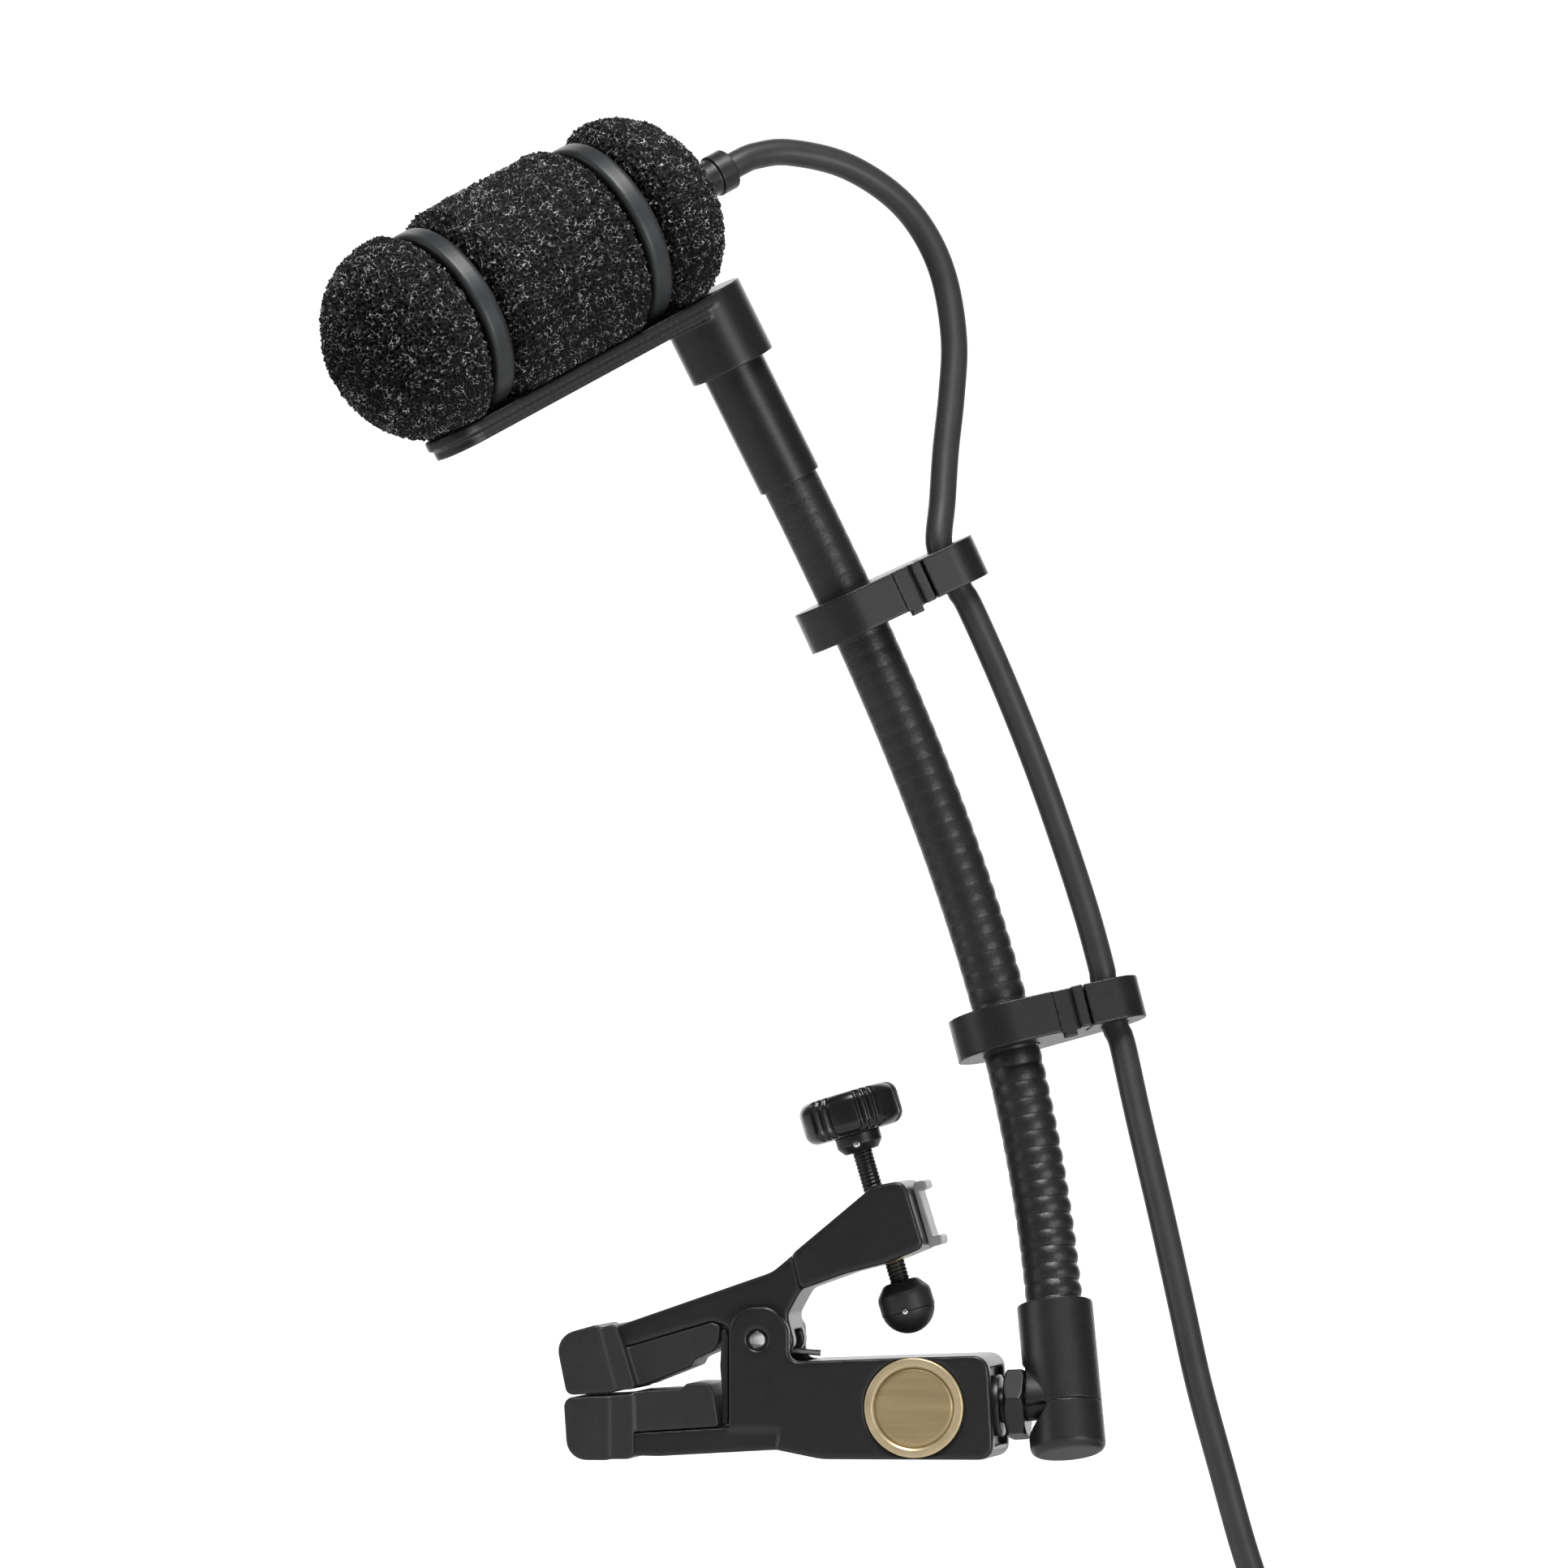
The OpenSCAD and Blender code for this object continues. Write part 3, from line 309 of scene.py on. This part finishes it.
def finish_piece(obj, material, body=None, nodes=()):
    """Paints a piece, hides the CAD nodes it stands for, and fixes it to its body."""
    obj.data.materials.clear()
    obj.data.materials.append(MATERIALS[material])
    if nodes:
        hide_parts(*nodes)
    if body:
        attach(obj, body)
    return obj


def mesh_object(name, points, faces):
    """A smooth-shaded mesh from points in millimetres; it keeps each point's place at rest."""
    mesh = bpy.data.meshes.new(name)
    mesh.from_pydata((np.asarray(points) * MM).tolist(), [], faces)
    mesh.polygons.foreach_set("use_smooth", [True] * len(mesh.polygons))
    mesh.update()
    obj = bpy.data.objects.new(name, mesh)
    bpy.context.scene.collection.objects.link(obj)
    remember_place(obj)
    return obj


def remember_place(obj):
    """Keeps each point's place at rest on the mesh, so that a bent piece keeps its texture."""
    mesh = obj.data
    place = mesh.attributes.new("rest_place", "FLOAT_VECTOR", "POINT")
    co = np.zeros(len(mesh.vertices) * 3, np.float32)
    mesh.vertices.foreach_get("co", co)
    place.data.foreach_set("vector", co)


def grid_faces(rows, cols, caps=(True, True)):
    """Quads of a tube of rows rings with cols points each, and its end faces."""
    i, k = np.meshgrid(np.arange(rows - 1), np.arange(cols), indexing="ij")
    a = i * cols + k
    b = i * cols + (k + 1) % cols
    faces = np.stack([a, b, b + cols, a + cols], -1).reshape(-1, 4).tolist()
    if caps[0]:
        faces.append(list(range(cols))[::-1])
    if caps[1]:
        faces.append([(rows - 1) * cols + k for k in range(cols)])
    return faces


def tube(name, path, radius, sides, caps=(True, True)):
    """A tube along a path. radius is a number, one value for each point, or rows of values."""
    path = np.asarray(path, float)
    rows = len(path)
    along = np.gradient(path, axis=0)
    along /= np.linalg.norm(along, axis=1)[:, None]
    turn = np.arange(sides) * 2 * math.pi / sides
    radius = np.broadcast_to(np.reshape(radius, (-1, 1)) if np.ndim(radius) < 2 else radius,
                             (rows, sides))
    side = unit(np.cross(along[0], [0, 1, 0] if abs(along[0][1]) < 0.9 else [1, 0, 0]))
    points = np.zeros((rows, sides, 3))
    for i in range(rows):
        side = unit(side - np.dot(side, along[i]) * along[i])
        other = np.cross(along[i], side)
        ring = np.outer(np.cos(turn), side) + np.outer(np.sin(turn), other)
        points[i] = path[i] + ring * radius[i][:, None]
    return mesh_object(name, points.reshape(-1, 3), grid_faces(rows, sides, caps))


def rounded(corners, step=15):
    """An outline whose corners are [x, y, radius]."""
    out = []
    for i, (x, y, r) in enumerate(corners):
        b = np.array([x, y], float)
        if r < 0.02:
            out.append(b)
            continue
        u = unit(np.array(corners[i - 1][:2]) - b)
        v = unit(np.array(corners[(i + 1) % len(corners)][:2]) - b)
        half = math.acos(np.clip(u @ v, -1, 1)) / 2
        centre = b + unit(u + v) * r / math.sin(half)
        start = b + u * r / math.tan(half) - centre
        end = b + v * r / math.tan(half) - centre
        a0, a1 = math.atan2(start[1], start[0]), math.atan2(end[1], end[0])
        sweep = (a1 - a0 + math.pi) % (2 * math.pi) - math.pi
        n = max(2, math.ceil(abs(math.degrees(sweep)) / step))
        for k in range(n + 1):
            a = a0 + sweep * k / n
            out.append(centre + r * np.array([math.cos(a), math.sin(a)]))
    return np.array(out)


def lathe(name, profile, at, frame_axes, sides=96, ripple=None):
    """A profile of [radius, height] turned round Z of a local frame. ripple(angle, r, z) moves radii."""
    profile = np.asarray(profile, float)
    turn = np.arange(sides) * 2 * math.pi / sides
    r = np.repeat(profile[:, :1], sides, axis=1)
    z = np.repeat(profile[:, 1:], sides, axis=1)
    a = np.broadcast_to(turn, r.shape)
    if ripple:
        r = ripple(a, r, z)
    points = np.stack([r * np.cos(a), r * np.sin(a), z], -1).reshape(-1, 3)
    hollow = profile[0, 0] > 0.1
    faces = grid_faces(len(profile), sides, (not hollow, not hollow))
    if hollow:
        last = (len(profile) - 1) * sides
        faces += [[last + k, last + (k + 1) % sides, (k + 1) % sides, k] for k in range(sides)]
    obj = mesh_object(name, placed(points, at, frame_axes), faces)
    obj.data.set_sharp_from_angle(angle=SHARP_TURNED)
    return obj


def smooth_route(points, step=0.8):
    """A smooth curve through given points, resampled at an even step."""
    p = np.asarray(points, float)
    out = []
    for i in range(len(p) - 1):
        a, b, c, d = p[max(0, i - 1)], p[i], p[i + 1], p[min(len(p) - 1, i + 2)]
        for t in np.linspace(0, 1, 16, endpoint=False):
            out.append(0.5 * (2 * b + (c - a) * t + (2 * a - 5 * b + 4 * c - d) * t * t
                              + (3 * b - a - 3 * c + d) * t ** 3))
    out.append(p[-1])
    return resample(out, step)


def resample(path, step):
    path = np.asarray(path, float)
    at = np.concatenate([[0], np.cumsum(np.linalg.norm(np.diff(path, axis=0), axis=1))])
    even = np.linspace(0, at[-1], max(2, round(at[-1] / step) + 1))
    return np.stack([np.interp(even, at, path[:, k]) for k in range(3)], -1)


def path_length(path):
    return float(np.linalg.norm(np.diff(path, axis=0), axis=1).sum())


def from_cad(node, bevel=0.2, segments=2, angle=30, name=None):
    """A copy of a CAD node with its sharp edges rounded off."""
    bm = bmesh.new()
    bm.from_mesh(frame["nodes"][node].data)
    bmesh.ops.remove_doubles(bm, verts=bm.verts, dist=WELD_M)
    bmesh.ops.dissolve_limit(bm, angle_limit=FLAT_ANGLE, verts=bm.verts, edges=bm.edges)
    bmesh.ops.recalc_face_normals(bm, faces=bm.faces)
    if bevel:
        sharp = [e for e in bm.edges if len(e.link_faces) == 2
                 and e.calc_face_angle(0) > math.radians(angle)]
        bmesh.ops.bevel(bm, geom=sharp, offset=bevel * MM, segments=segments, profile=0.5,
                        affect="EDGES", clamp_overlap=True)
    mesh = bpy.data.meshes.new(name or node + "_detail")
    bm.to_mesh(mesh)
    bm.free()
    mesh.polygons.foreach_set("use_smooth", [True] * len(mesh.polygons))
    mesh.set_sharp_from_angle(angle=SHARP_CAD)
    obj = bpy.data.objects.new(mesh.name, mesh)
    bpy.context.scene.collection.objects.link(obj)
    weighted = obj.modifiers.new("weighted", "WEIGHTED_NORMAL")
    weighted.keep_sharp = True
    return obj


def softened(node, cell, rounds):
    """A copy of a CAD node with every edge and inner corner rounded, as moulded or cast."""
    obj = from_cad(node, 0)
    obj.modifiers.clear()
    remesh = obj.modifiers.new("remesh", "REMESH")
    remesh.mode, remesh.voxel_size = "VOXEL", cell * MM
    smooth = obj.modifiers.new("smooth", "SMOOTH")
    smooth.factor, smooth.iterations = 0.5, rounds
    shape = bpy.data.meshes.new_from_object(obj.evaluated_get(bpy.context.evaluated_depsgraph_get()))
    obj.modifiers.clear()
    obj.data = shape
    shape.polygons.foreach_set("use_smooth", [True] * len(shape.polygons))
    return obj


def soft_piece(node, material, cell=0.16, rounds=6):
    """A softened copy of a CAD node that stands for it, on the same body."""
    return finish_piece(softened(node, cell, rounds), material, BODY_OF[node], [node])


def cad_piece(node, material, bevel=0.2, segments=2, angle=30):
    """A rounded copy of a CAD node that stands for it, on the same body."""
    return finish_piece(from_cad(node, bevel, segments, angle), material, BODY_OF[node], [node])


def cad_paint(node, material):
    """A CAD node that stays as it is, with a better material."""
    obj = frame["nodes"][node]
    obj.data.materials.clear()
    obj.data.materials.append(MATERIALS[material])


# ---------------------------------------------------------------- lead

RELIEF_POINT = MIC_AT + RELIEF_END * MIC_DIR
UPPER_ROUTE = [[17, 8.4, 145.4], [20.5, 10.9, 145.9], [26.4, 14.4, 144.6],
               [31.7, 17, 141.3], [35.4, 18.2, 137], [38, 18.2, 131.3], [39.4, 16.8, 124],
               [39.4, 15, 117.5], [39, 12.9, 110.7], [38.9, 10.9, 104.7]]
MIDDLE_ROUTE = [[42.3, 9.8, 92.4], [45.9, 10.5, 84.2], [49.7, 11.2, 74.6], [53.1, 11.6, 65],
                [56, 11.4, 56.2], [57.9, 10.9, 49.5]]
LOWER_ROUTE = [[60.4, 9.9, 41], [62.6, 7.8, 32.5], [65.8, 4.9, 20.7], [68.2, 3.1, 11.1],
               [70.5, 1.8, 1.6], [73.3, 0.6, -8], [76.6, -0.5, -19], [79.7, -1.1, -26.5],
               [84.2, -1.4, -32], [90.5, -1.6, -34.4], [98, -1.6, -34.7]]
TAIL_ROUTE = [[98, 50.4, -31.5], [92, 50.2, -31.5], [86, 49, -31.5], [80, 47.7, -31.5],
              [75, 47.1, -31.5], [70, 47, -31.5]]
# Turns in each of the coil's two layers, and points on a turn
LAYER_TURNS, COIL_POINTS = 4.75, 24
# Room for the tie under the coil, and how far the turn that climbs dips inward
COIL_CLEAR, CLIMB_DIP = 0.7, 1.2
# The point of the lower route from which the lead stays still when the neck swivels
LOWER_STILL_FROM = 7


def lead_ring(t):
    """The middle of a cable clip's smaller ring, where the lead runs."""
    out = CLIP_SIDE - (CLIP_SIDE @ neck_dir(t)) * neck_dir(t)
    return neck_point(t) + RING_GAP * unit(out)


def coil_path():
    """In along the lower layer, up in one turn inside it, and out along the upper layer."""
    low = FLOOR_Z + COIL_CLEAR + LEAD_R
    high = low + 2 * LEAD_R
    turns = 2 * LAYER_TURNS + 1
    points = []
    for i in range(round(turns * COIL_POINTS) + 1):
        t = i / COIL_POINTS
        climb = min(1, max(0, t - LAYER_TURNS))
        if t <= LAYER_TURNS:
            r = COIL_R_OUT + (COIL_R_IN - COIL_R_OUT) * t / LAYER_TURNS
        elif t < LAYER_TURNS + 1:
            r = COIL_R_IN - CLIMB_DIP * math.sin(math.pi * climb)
        else:
            r = COIL_R_IN + (COIL_R_OUT - COIL_R_IN) * (t - LAYER_TURNS - 1) / LAYER_TURNS
        z = low + (high - low) * climb
        a = math.radians(-90 + 360 * t)
        points.append([COIL_AT[0] + r * math.cos(a), COIL_AT[1] + r * math.sin(a), z])
    return np.array(points)


def add_lead(plug_pieces):
    """The lead in three runs that meet inside the clips."""
    high, low = lead_ring(HIGH_CLIP_T), lead_ring(LOW_CLIP_T)
    high_dir, low_dir = neck_dir(HIGH_CLIP_T), neck_dir(LOW_CLIP_T)
    upper = smooth_route([RELIEF_POINT + 1.9 * MIC_DIR, RELIEF_POINT, RELIEF_POINT - 2 * MIC_DIR,
                          *UPPER_ROUTE, high + 3 * high_dir, high])
    middle = smooth_route([high, high - 3 * high_dir, *MIDDLE_ROUTE, low + 3 * low_dir, low])
    lower = np.concatenate([smooth_route([low, low - 3 * low_dir, *LOWER_ROUTE])[:-1],
                            coil_path()[:-1], smooth_route(TAIL_ROUTE)])
    runs = [
        ("lead_upper_run", upper, ["lead_upper"], "upper_neck", "head", high, RELIEF_POINT, "object", []),
        ("lead_middle_run", middle, ["lead_middle"], "elbow_arm", "upper_neck", low, high, "object", []),
        ("lead_lower_run", lower, ["lead_lower", "lead_coil", "lead_tail"], "clip_base", "elbow_arm",
         np.array(LOWER_ROUTE[LOWER_STILL_FROM]), low, "connector", plug_pieces),
    ]
    for name, path, nodes, a, b, start, end, far_end, pieces in runs:
        obj = tube(name, path, LEAD_R, 16)
        finish_piece(obj, "lead_jacket", None, nodes)
        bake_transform(obj)


def add_plug():
    """The connector at the lead's end: boot, shell, insert, four contacts and a latch button."""
    boot = rounded([[LEAD_R, 0, 0], [2.3, 0, 0.3], [2.7, 3, 3], [4.2, 10, 1.2], [4.2, BOOT_L, 0],
                    [LEAD_R, BOOT_L, 0]])
    pieces = [
        finish_piece(lathe("plug_boot_detail", boot, PLUG_AT, PLUG_AXES, 48), "relief_plastic",
                     "clip_base", ["plug_boot"]),
        cad_piece("plug_shell", "plug_metal", 0.25),
        cad_piece("plug_latch", "black_plastic", 0.2),
    ]
    cad_paint("plug_insert", "black_plastic")
    for count in ("one", "two", "three", "four"):
        cad_paint("contact_" + count, "gold_brass")
        pieces.append(frame["nodes"]["contact_" + count])
    pieces.append(frame["nodes"]["plug_insert"])
    pieces.append(cad_piece("coil_tie", "tie_fabric", 0.15))
    return pieces


# ---------------------------------------------------------------- gooseneck

NECK_STEP = 0.16
SLEEVE_SIDES = 48
SLEEVE_IN_ELBOW, SLEEVE_IN_FERRULE = 5.5, 4
# Ribs are deepest at the elbow and on the neck's inner side
RIB_PITCH = 2.0
RIB_LOW, RIB_EXTRA, RIB_LEAN = 0.02, 0.24, 0.6
# The wound core's radius, its wire's radius, and its pitch and points for each turn
CORE_R, CORE_WIRE, CORE_PITCH, CORE_SIDES = 2.2, 0.6, 1.3, 14


def add_neck():
    """One ribbed sleeve and one wound core along the flexing section."""
    path = resample([neck_point(0) - SLEEVE_IN_ELBOW * neck_dir(0),
                     *[neck_point(x) for x in np.linspace(0, 1, 600)],
                     neck_point(1) + SLEEVE_IN_FERRULE * neck_dir(1)], NECK_STEP)
    along = np.linspace(0, 1, len(path))
    length = path_length(path)
    turn = np.arange(SLEEVE_SIDES) * 2 * math.pi / SLEEVE_SIDES
    wave = np.abs(np.sin(math.pi * along * length / RIB_PITCH)) ** 0.75
    depth = RIB_LOW + RIB_EXTRA * (1 - along) ** 2
    lean_in = 1 + RIB_LEAN * np.cos(turn - math.pi)
    radius = NECK_R - (1 - wave)[:, None] * depth[:, None] * lean_in[None, :]
    sleeve = tube("neck_sleeve", path, radius, SLEEVE_SIDES)
    finish_piece(sleeve, "sleeve_rubber", None,
                 ["neck_sleeve_lower", "neck_sleeve_middle", "neck_sleeve_upper"])
    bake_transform(sleeve)

    points = length / CORE_PITCH * CORE_SIDES
    core = []
    for i in range(int(points)):
        s = i / points
        centre = path[min(len(path) - 1, int(s * len(path)))]
        way = neck_dir(s)
        u = unit(np.cross(way, [0, 1, 0]))
        v = np.cross(way, u)
        a = 2 * math.pi * i / CORE_SIDES
        core.append(centre + CORE_R * (math.cos(a) * u + math.sin(a) * v))
    coil = tube("neck_core", core, CORE_WIRE, 6)
    finish_piece(coil, "coil_steel", None,
                 ["neck_coil_lower", "neck_coil_middle", "neck_coil_upper"])
    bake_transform(coil)
    soft_piece("top_ferrule", "black_metal", 0.12, 3)
    cad_paint("ferrule_ring", "black_metal")
    soft_piece("elbow", "cast_metal", 0.13, 4)
    soft_piece("elbow_cap", "cast_metal", 0.13, 2)
    soft_piece("lock_nut", "black_metal", 0.1, 2)
    cad_piece("swivel_stud", "black_metal", 0.15)
    cad_piece("spring_washer", "black_metal", 0.12)


def add_cable_clips():
    """The two moulded clips that hold the lead beside the neck."""
    for node in ("lower_cable_clip", "upper_cable_clip"):
        soft_piece(node, "black_plastic", 0.12, 3)


# ---------------------------------------------------------------- microphone head

FOAM_STEP = 0.15
# A pore's size and depth, and the strut's share of the way to its middle
FOAM_CELL, FOAM_DEPTH, STRUT_W = 0.62, 0.5, 0.26
# Unevenness on top of the pores: size and height
FINE_ROUGH, SLOW_ROUGH = (0.5, 0.3), (2.5, 0.14)
# The two ends bulge, and the foam rises steeply on both sides of each hoop
CROWN_H, CROWN_FROM = 0.7, 1.5
SQUEEZE_GAP, SQUEEZE_RISE, SQUEEZE_LEN = 0.1, 3.0, 2.6
BAR_GAP = 0.1


def foam_outline():
    """Radius and height along the microphone: blunt ends, squeezed in by the hoops."""
    half = FOAM_L / 2
    outline = rounded([[0.05, -half, 0], [FOAM_R, -half, 8.5], [FOAM_R, half, 10], [0.05, half, 0]], 4)
    outline = resample(np.column_stack([outline, np.zeros(len(outline))]), FOAM_STEP)[:, :2]
    r, z = outline[:, 0], outline[:, 1] + FOAM_MID
    from_end = np.abs(outline[:, 1]) - half + CROWN_FROM
    crown = CROWN_H * (1 - (r / FOAM_R) ** 2) * np.clip(from_end / CROWN_FROM, 0, 1)
    z = z + crown * np.sign(outline[:, 1])
    for x in (FRONT_HOOP_X, REAR_HOOP_X):
        away = np.maximum(0, np.abs(z - x) - HOOP_W / 2 - SQUEEZE_GAP)
        rise = SQUEEZE_RISE * np.clip(away / SQUEEZE_LEN, 0, 1) ** 0.45 + np.maximum(0, away - 2)
        r = np.minimum(r, HOOP_R - HOOP_T - SQUEEZE_GAP + rise)
    return np.stack([r, z], -1)


def add_foam():
    """Open-cell foam: a net of struts round pores, cut by the foam's surface."""
    profile = foam_outline()
    sides = round(2 * math.pi * FOAM_R / FOAM_STEP)
    slope = np.gradient(profile, axis=0)
    slope /= np.linalg.norm(slope, axis=1)[:, None] + 1e-9
    turn = np.arange(sides) * 2 * math.pi / sides
    ring = np.stack([np.cos(turn), np.sin(turn)], -1)
    points, pores = [], []
    for (r, h), (dr, dh) in zip(profile, slope):
        for c, s in ring:
            p = Vector((r * c, r * s, h))
            near = noise.voronoi(p / FOAM_CELL)[0]
            strut = min(1, (near[1] - near[0]) / STRUT_W)
            sink = FOAM_DEPTH * strut
            for size, height in (FINE_ROUGH, SLOW_ROUGH):
                sink += noise.noise(p / size) * height
            points.append((p.x - dh * c * sink, p.y - dh * s * sink, p.z + dr * sink))
            pores.append(strut)
    points = np.array(points)
    on_bar = points[:, 2] < BAR_FRONT - 1
    points[on_bar, 0] = np.minimum(points[on_bar, 0], HEAD_H - BAR_TOP - BAR_GAP)
    foam = mesh_object("windscreen_foam", placed(points, MIC_AT, MIC_AXES),
                       grid_faces(len(profile), sides))
    layer = foam.data.attributes.new("pore", "FLOAT", "POINT")
    layer.data.foreach_set("value", np.array(pores, np.float32))
    finish_piece(foam, "foam", "head", ["windscreen"])


# Foam greys from pore to strut, the strut end being a painted glint, with their places on the ramp
FOAM_GREYS_UP_TO_GLINT = ((0.0, 0.0025), (0.35, 0.02), (0.9, 0.45))
THREAD_CELL, GLINT_SIZE, FOAM_BUMP = 0.54, 1.1, 0.2


def foam_paint():
    """Black pores and glossy struts, some much brighter than others; the struts' brightness is painted
    glint, dimmed by painted shade deep in the pores.
    """
    material = bpy.data.materials.new("foam")
    material.use_nodes = True
    nodes, links = material.node_tree.nodes, material.node_tree.links
    shader = nodes["Principled BSDF"]
    shader.inputs["Specular IOR Level"].default_value = 0.2
    place = nodes.new("ShaderNodeTexCoord")
    pore = nodes.new("ShaderNodeAttribute")
    pore.attribute_name = "pore"

    def ranged(value, low, high, to_low, to_high):
        node = nodes.new("ShaderNodeMapRange")
        for socket, number in zip(("From Min", "From Max", "To Min", "To Max"),
                                  (low, high, to_low, to_high)):
            node.inputs[socket].default_value = number
        links.new(value, node.inputs["Value"])
        return node.outputs["Result"]

    def product(a, b):
        node = nodes.new("ShaderNodeMath")
        node.operation = "MULTIPLY"
        links.new(a, node.inputs[0])
        links.new(b, node.inputs[1])
        return node.outputs[0]

    net = nodes.new("ShaderNodeTexVoronoi")
    net.feature = "DISTANCE_TO_EDGE"
    net.inputs["Scale"].default_value = 1 / (THREAD_CELL * MM)
    links.new(place.outputs["Object"], net.inputs["Vector"])
    thread = ranged(net.outputs["Distance"], 0.03, 0.12, 1, 0)
    glint = nodes.new("ShaderNodeTexNoise")
    glint.inputs["Scale"].default_value = 1 / (GLINT_SIZE * MM)
    links.new(place.outputs["Object"], glint.inputs["Vector"])
    # Painted glints: the threads' colour is made bright, more so in noisy patches, to stand in for
    # highlights
    lit = product(thread, ranged(glint.outputs["Fac"], 0.36, 0.64, 0.22, 1))
    # Painted shade: the painted glints fade to a quarter of their brightness deep down in the pores
    glint_with_pore_shade = product(lit, ranged(pore.outputs["Fac"], 0.1, 0.9, 1, 0.25))
    ramp = nodes.new("ShaderNodeValToRGB")
    ramp.color_ramp.elements.new(0.5)
    for stop, (position, grey) in zip(ramp.color_ramp.elements, FOAM_GREYS_UP_TO_GLINT):
        stop.position = position
        stop.color = (grey, grey, 1.015 * grey, 1)
    links.new(glint_with_pore_shade, ramp.inputs["Fac"])
    links.new(ramp.outputs["Color"], shader.inputs["Base Color"])
    links.new(ranged(thread, 0, 1, 0.85, 0.28), shader.inputs["Roughness"])
    bump = nodes.new("ShaderNodeBump")
    bump.inputs["Strength"].default_value = 1
    bump.inputs["Distance"].default_value = FOAM_BUMP * MM
    links.new(thread, bump.inputs["Height"])
    links.new(bump.outputs["Normal"], shader.inputs["Normal"])
    return material


def add_head():
    """The foam, its cradle and hoops, and the microphone inside it."""
    MATERIALS["foam"] = foam_paint()
    add_foam()
    soft_piece("cradle", "black_plastic", 0.14, 14)
    for node in ("front_hoop", "rear_hoop"):
        soft_piece(node, "hoop_rubber", 0.14, 6)
    soft_piece("strain_relief", "relief_plastic", 0.1, 2)
    for node, material in {"mic_body": "black_metal", "front_grille": "black_metal",
                           "capsule": "gold_brass", "circuit_board": "board",
                           "rear_cap": "black_plastic"}.items():
        cad_paint(node, material)


# ---------------------------------------------------------------- clip

def add_clip():
    """Jaw, lever, rubber boots and their web, pin, spring and the lever's end channel."""
    soft_piece("lower_jaw", "black_plastic", 0.16, 22)
    soft_piece("upper_lever", "black_plastic", 0.16, 32)
    soft_piece("lower_liner", "liner_rubber", 0.14, 20)
    soft_piece("upper_liner", "liner_rubber", 0.14, 20)
    web = finish_piece(from_cad("liner_web", 0.15), "web_rubber", None, ["liner_web"])
    remember_place(web)
    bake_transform(web)
    soft_piece("end_channel", "light_zinc", 0.08, 2)
    cad_piece("hinge_pin", "knob_plastic", 0.1)
    cad_paint("jaw_spring", "bright_steel")
    cad_paint("thread_insert", "brass_insert")


def add_badge():
    """A turned rim round a shallow dish, let into the clip's side. Heights are above that side."""
    side = axes([0, -1, 0], [1, 0, 0])
    face = BADGE_AT + np.array([0, -CLIP_W / 2, 0])
    rim = rounded([[DISH_R, -0.4, 0], [BADGE_R, -0.4, 0], [BADGE_R, 0.28, 0.25], [5.0, 0.28, 0.12],
                   [DISH_R, 0.05, 0.05]])
    finish_piece(lathe("badge_rim_detail", rim, face, side), "badge_rim", "clip_base",
                 ["badge_rim"])
    dish = [[0.02, -0.12], [2.4, -0.10], [4.0, -0.03], [4.35, 0.0], [4.5, -0.06], [4.62, -0.2],
            [DISH_R - 0.02, -0.2], [DISH_R - 0.02, -0.5], [0.02, -0.5]]
    finish_piece(lathe("badge_disc_detail", dish, face, side), "badge_dish",
                 "clip_base", ["badge_disc"])


# The knob's grip: groups of grooves, degrees between grooves, and where the grooves fade inward
GRIP_GROUPS, GROOVE_STEP = 6, 10.54
GROOVE_W, GROOVE_DEPTH = 0.42, 0.42
GRIP_EDGE, GRIP_FADE = 1.1, 0.7
THREAD_PITCH, THREAD_DEPTH = 0.45, 0.12


def knob_ripple(a, r, z):
    """Grip grooves in six groups of three, with smooth arcs between them."""
    grooves = np.zeros_like(a)
    for group in range(GRIP_GROUPS):
        for k in (-1, 0, 1):
            middle = math.radians(360 / GRIP_GROUPS * group + GROOVE_STEP * k)
            off = np.abs((a - middle + math.pi) % (2 * math.pi) - math.pi) * KNOB_R
            grooves = np.maximum(grooves, np.clip(1 - (off / GROOVE_W) ** 2, 0, 1))
    outer = np.clip((r - (KNOB_R - GRIP_EDGE)) / GRIP_FADE, 0, 1)
    return r - GROOVE_DEPTH * grooves * outer


def add_screw():
    """Threaded spindle, gripped knob, hub and the two-part foot."""
    rows, sides = 440, 32
    z = np.linspace(1, SPINDLE_END, rows)
    turn = np.arange(sides) / sides
    phase = (z[:, None] / THREAD_PITCH - turn[None, :]) % 1
    r = SPINDLE_R - THREAD_DEPTH * np.abs(2 * phase - 1)
    a = np.broadcast_to(turn * 2 * math.pi, r.shape)
    points = np.stack([r * np.cos(a), r * np.sin(a), np.broadcast_to(z[:, None], r.shape)], -1)
    spindle = mesh_object("screw_thread", placed(points.reshape(-1, 3), SCREW_AT, SCREW_AXES),
                          grid_faces(rows, sides))
    finish_piece(spindle, "black_metal", "clamp_screw", ["screw_spindle"])

    outline = rounded([[SPINDLE_R, KNOB_Z, 0], [KNOB_R, KNOB_Z, 1.5], [KNOB_R, KNOB_Z + KNOB_H, 1.4],
                       [SPINDLE_R, KNOB_Z + KNOB_H, 0]], 10)
    knob = lathe("thumb_knob_detail", outline, SCREW_AT, SCREW_AXES, 420, knob_ripple)
    finish_piece(knob, "knob_plastic", "clamp_screw", ["thumb_knob"])
    soft_piece("knob_hub", "black_plastic", 0.08, 2)
    cad_piece("hub_pin", "bright_steel", 0.1)
    soft_piece("foot_upper", "liner_rubber", 0.08, 2)
    soft_piece("foot_lower", "liner_rubber", 0.08, 2)
    cad_piece("foot_pin", "bright_steel", 0.1)


# ---------------------------------------------------------------- build

add_camera()
add_lead(add_plug())
add_neck()
add_cable_clips()
add_head()
add_clip()
add_badge()
add_screw()
add_floor()
add_studio()
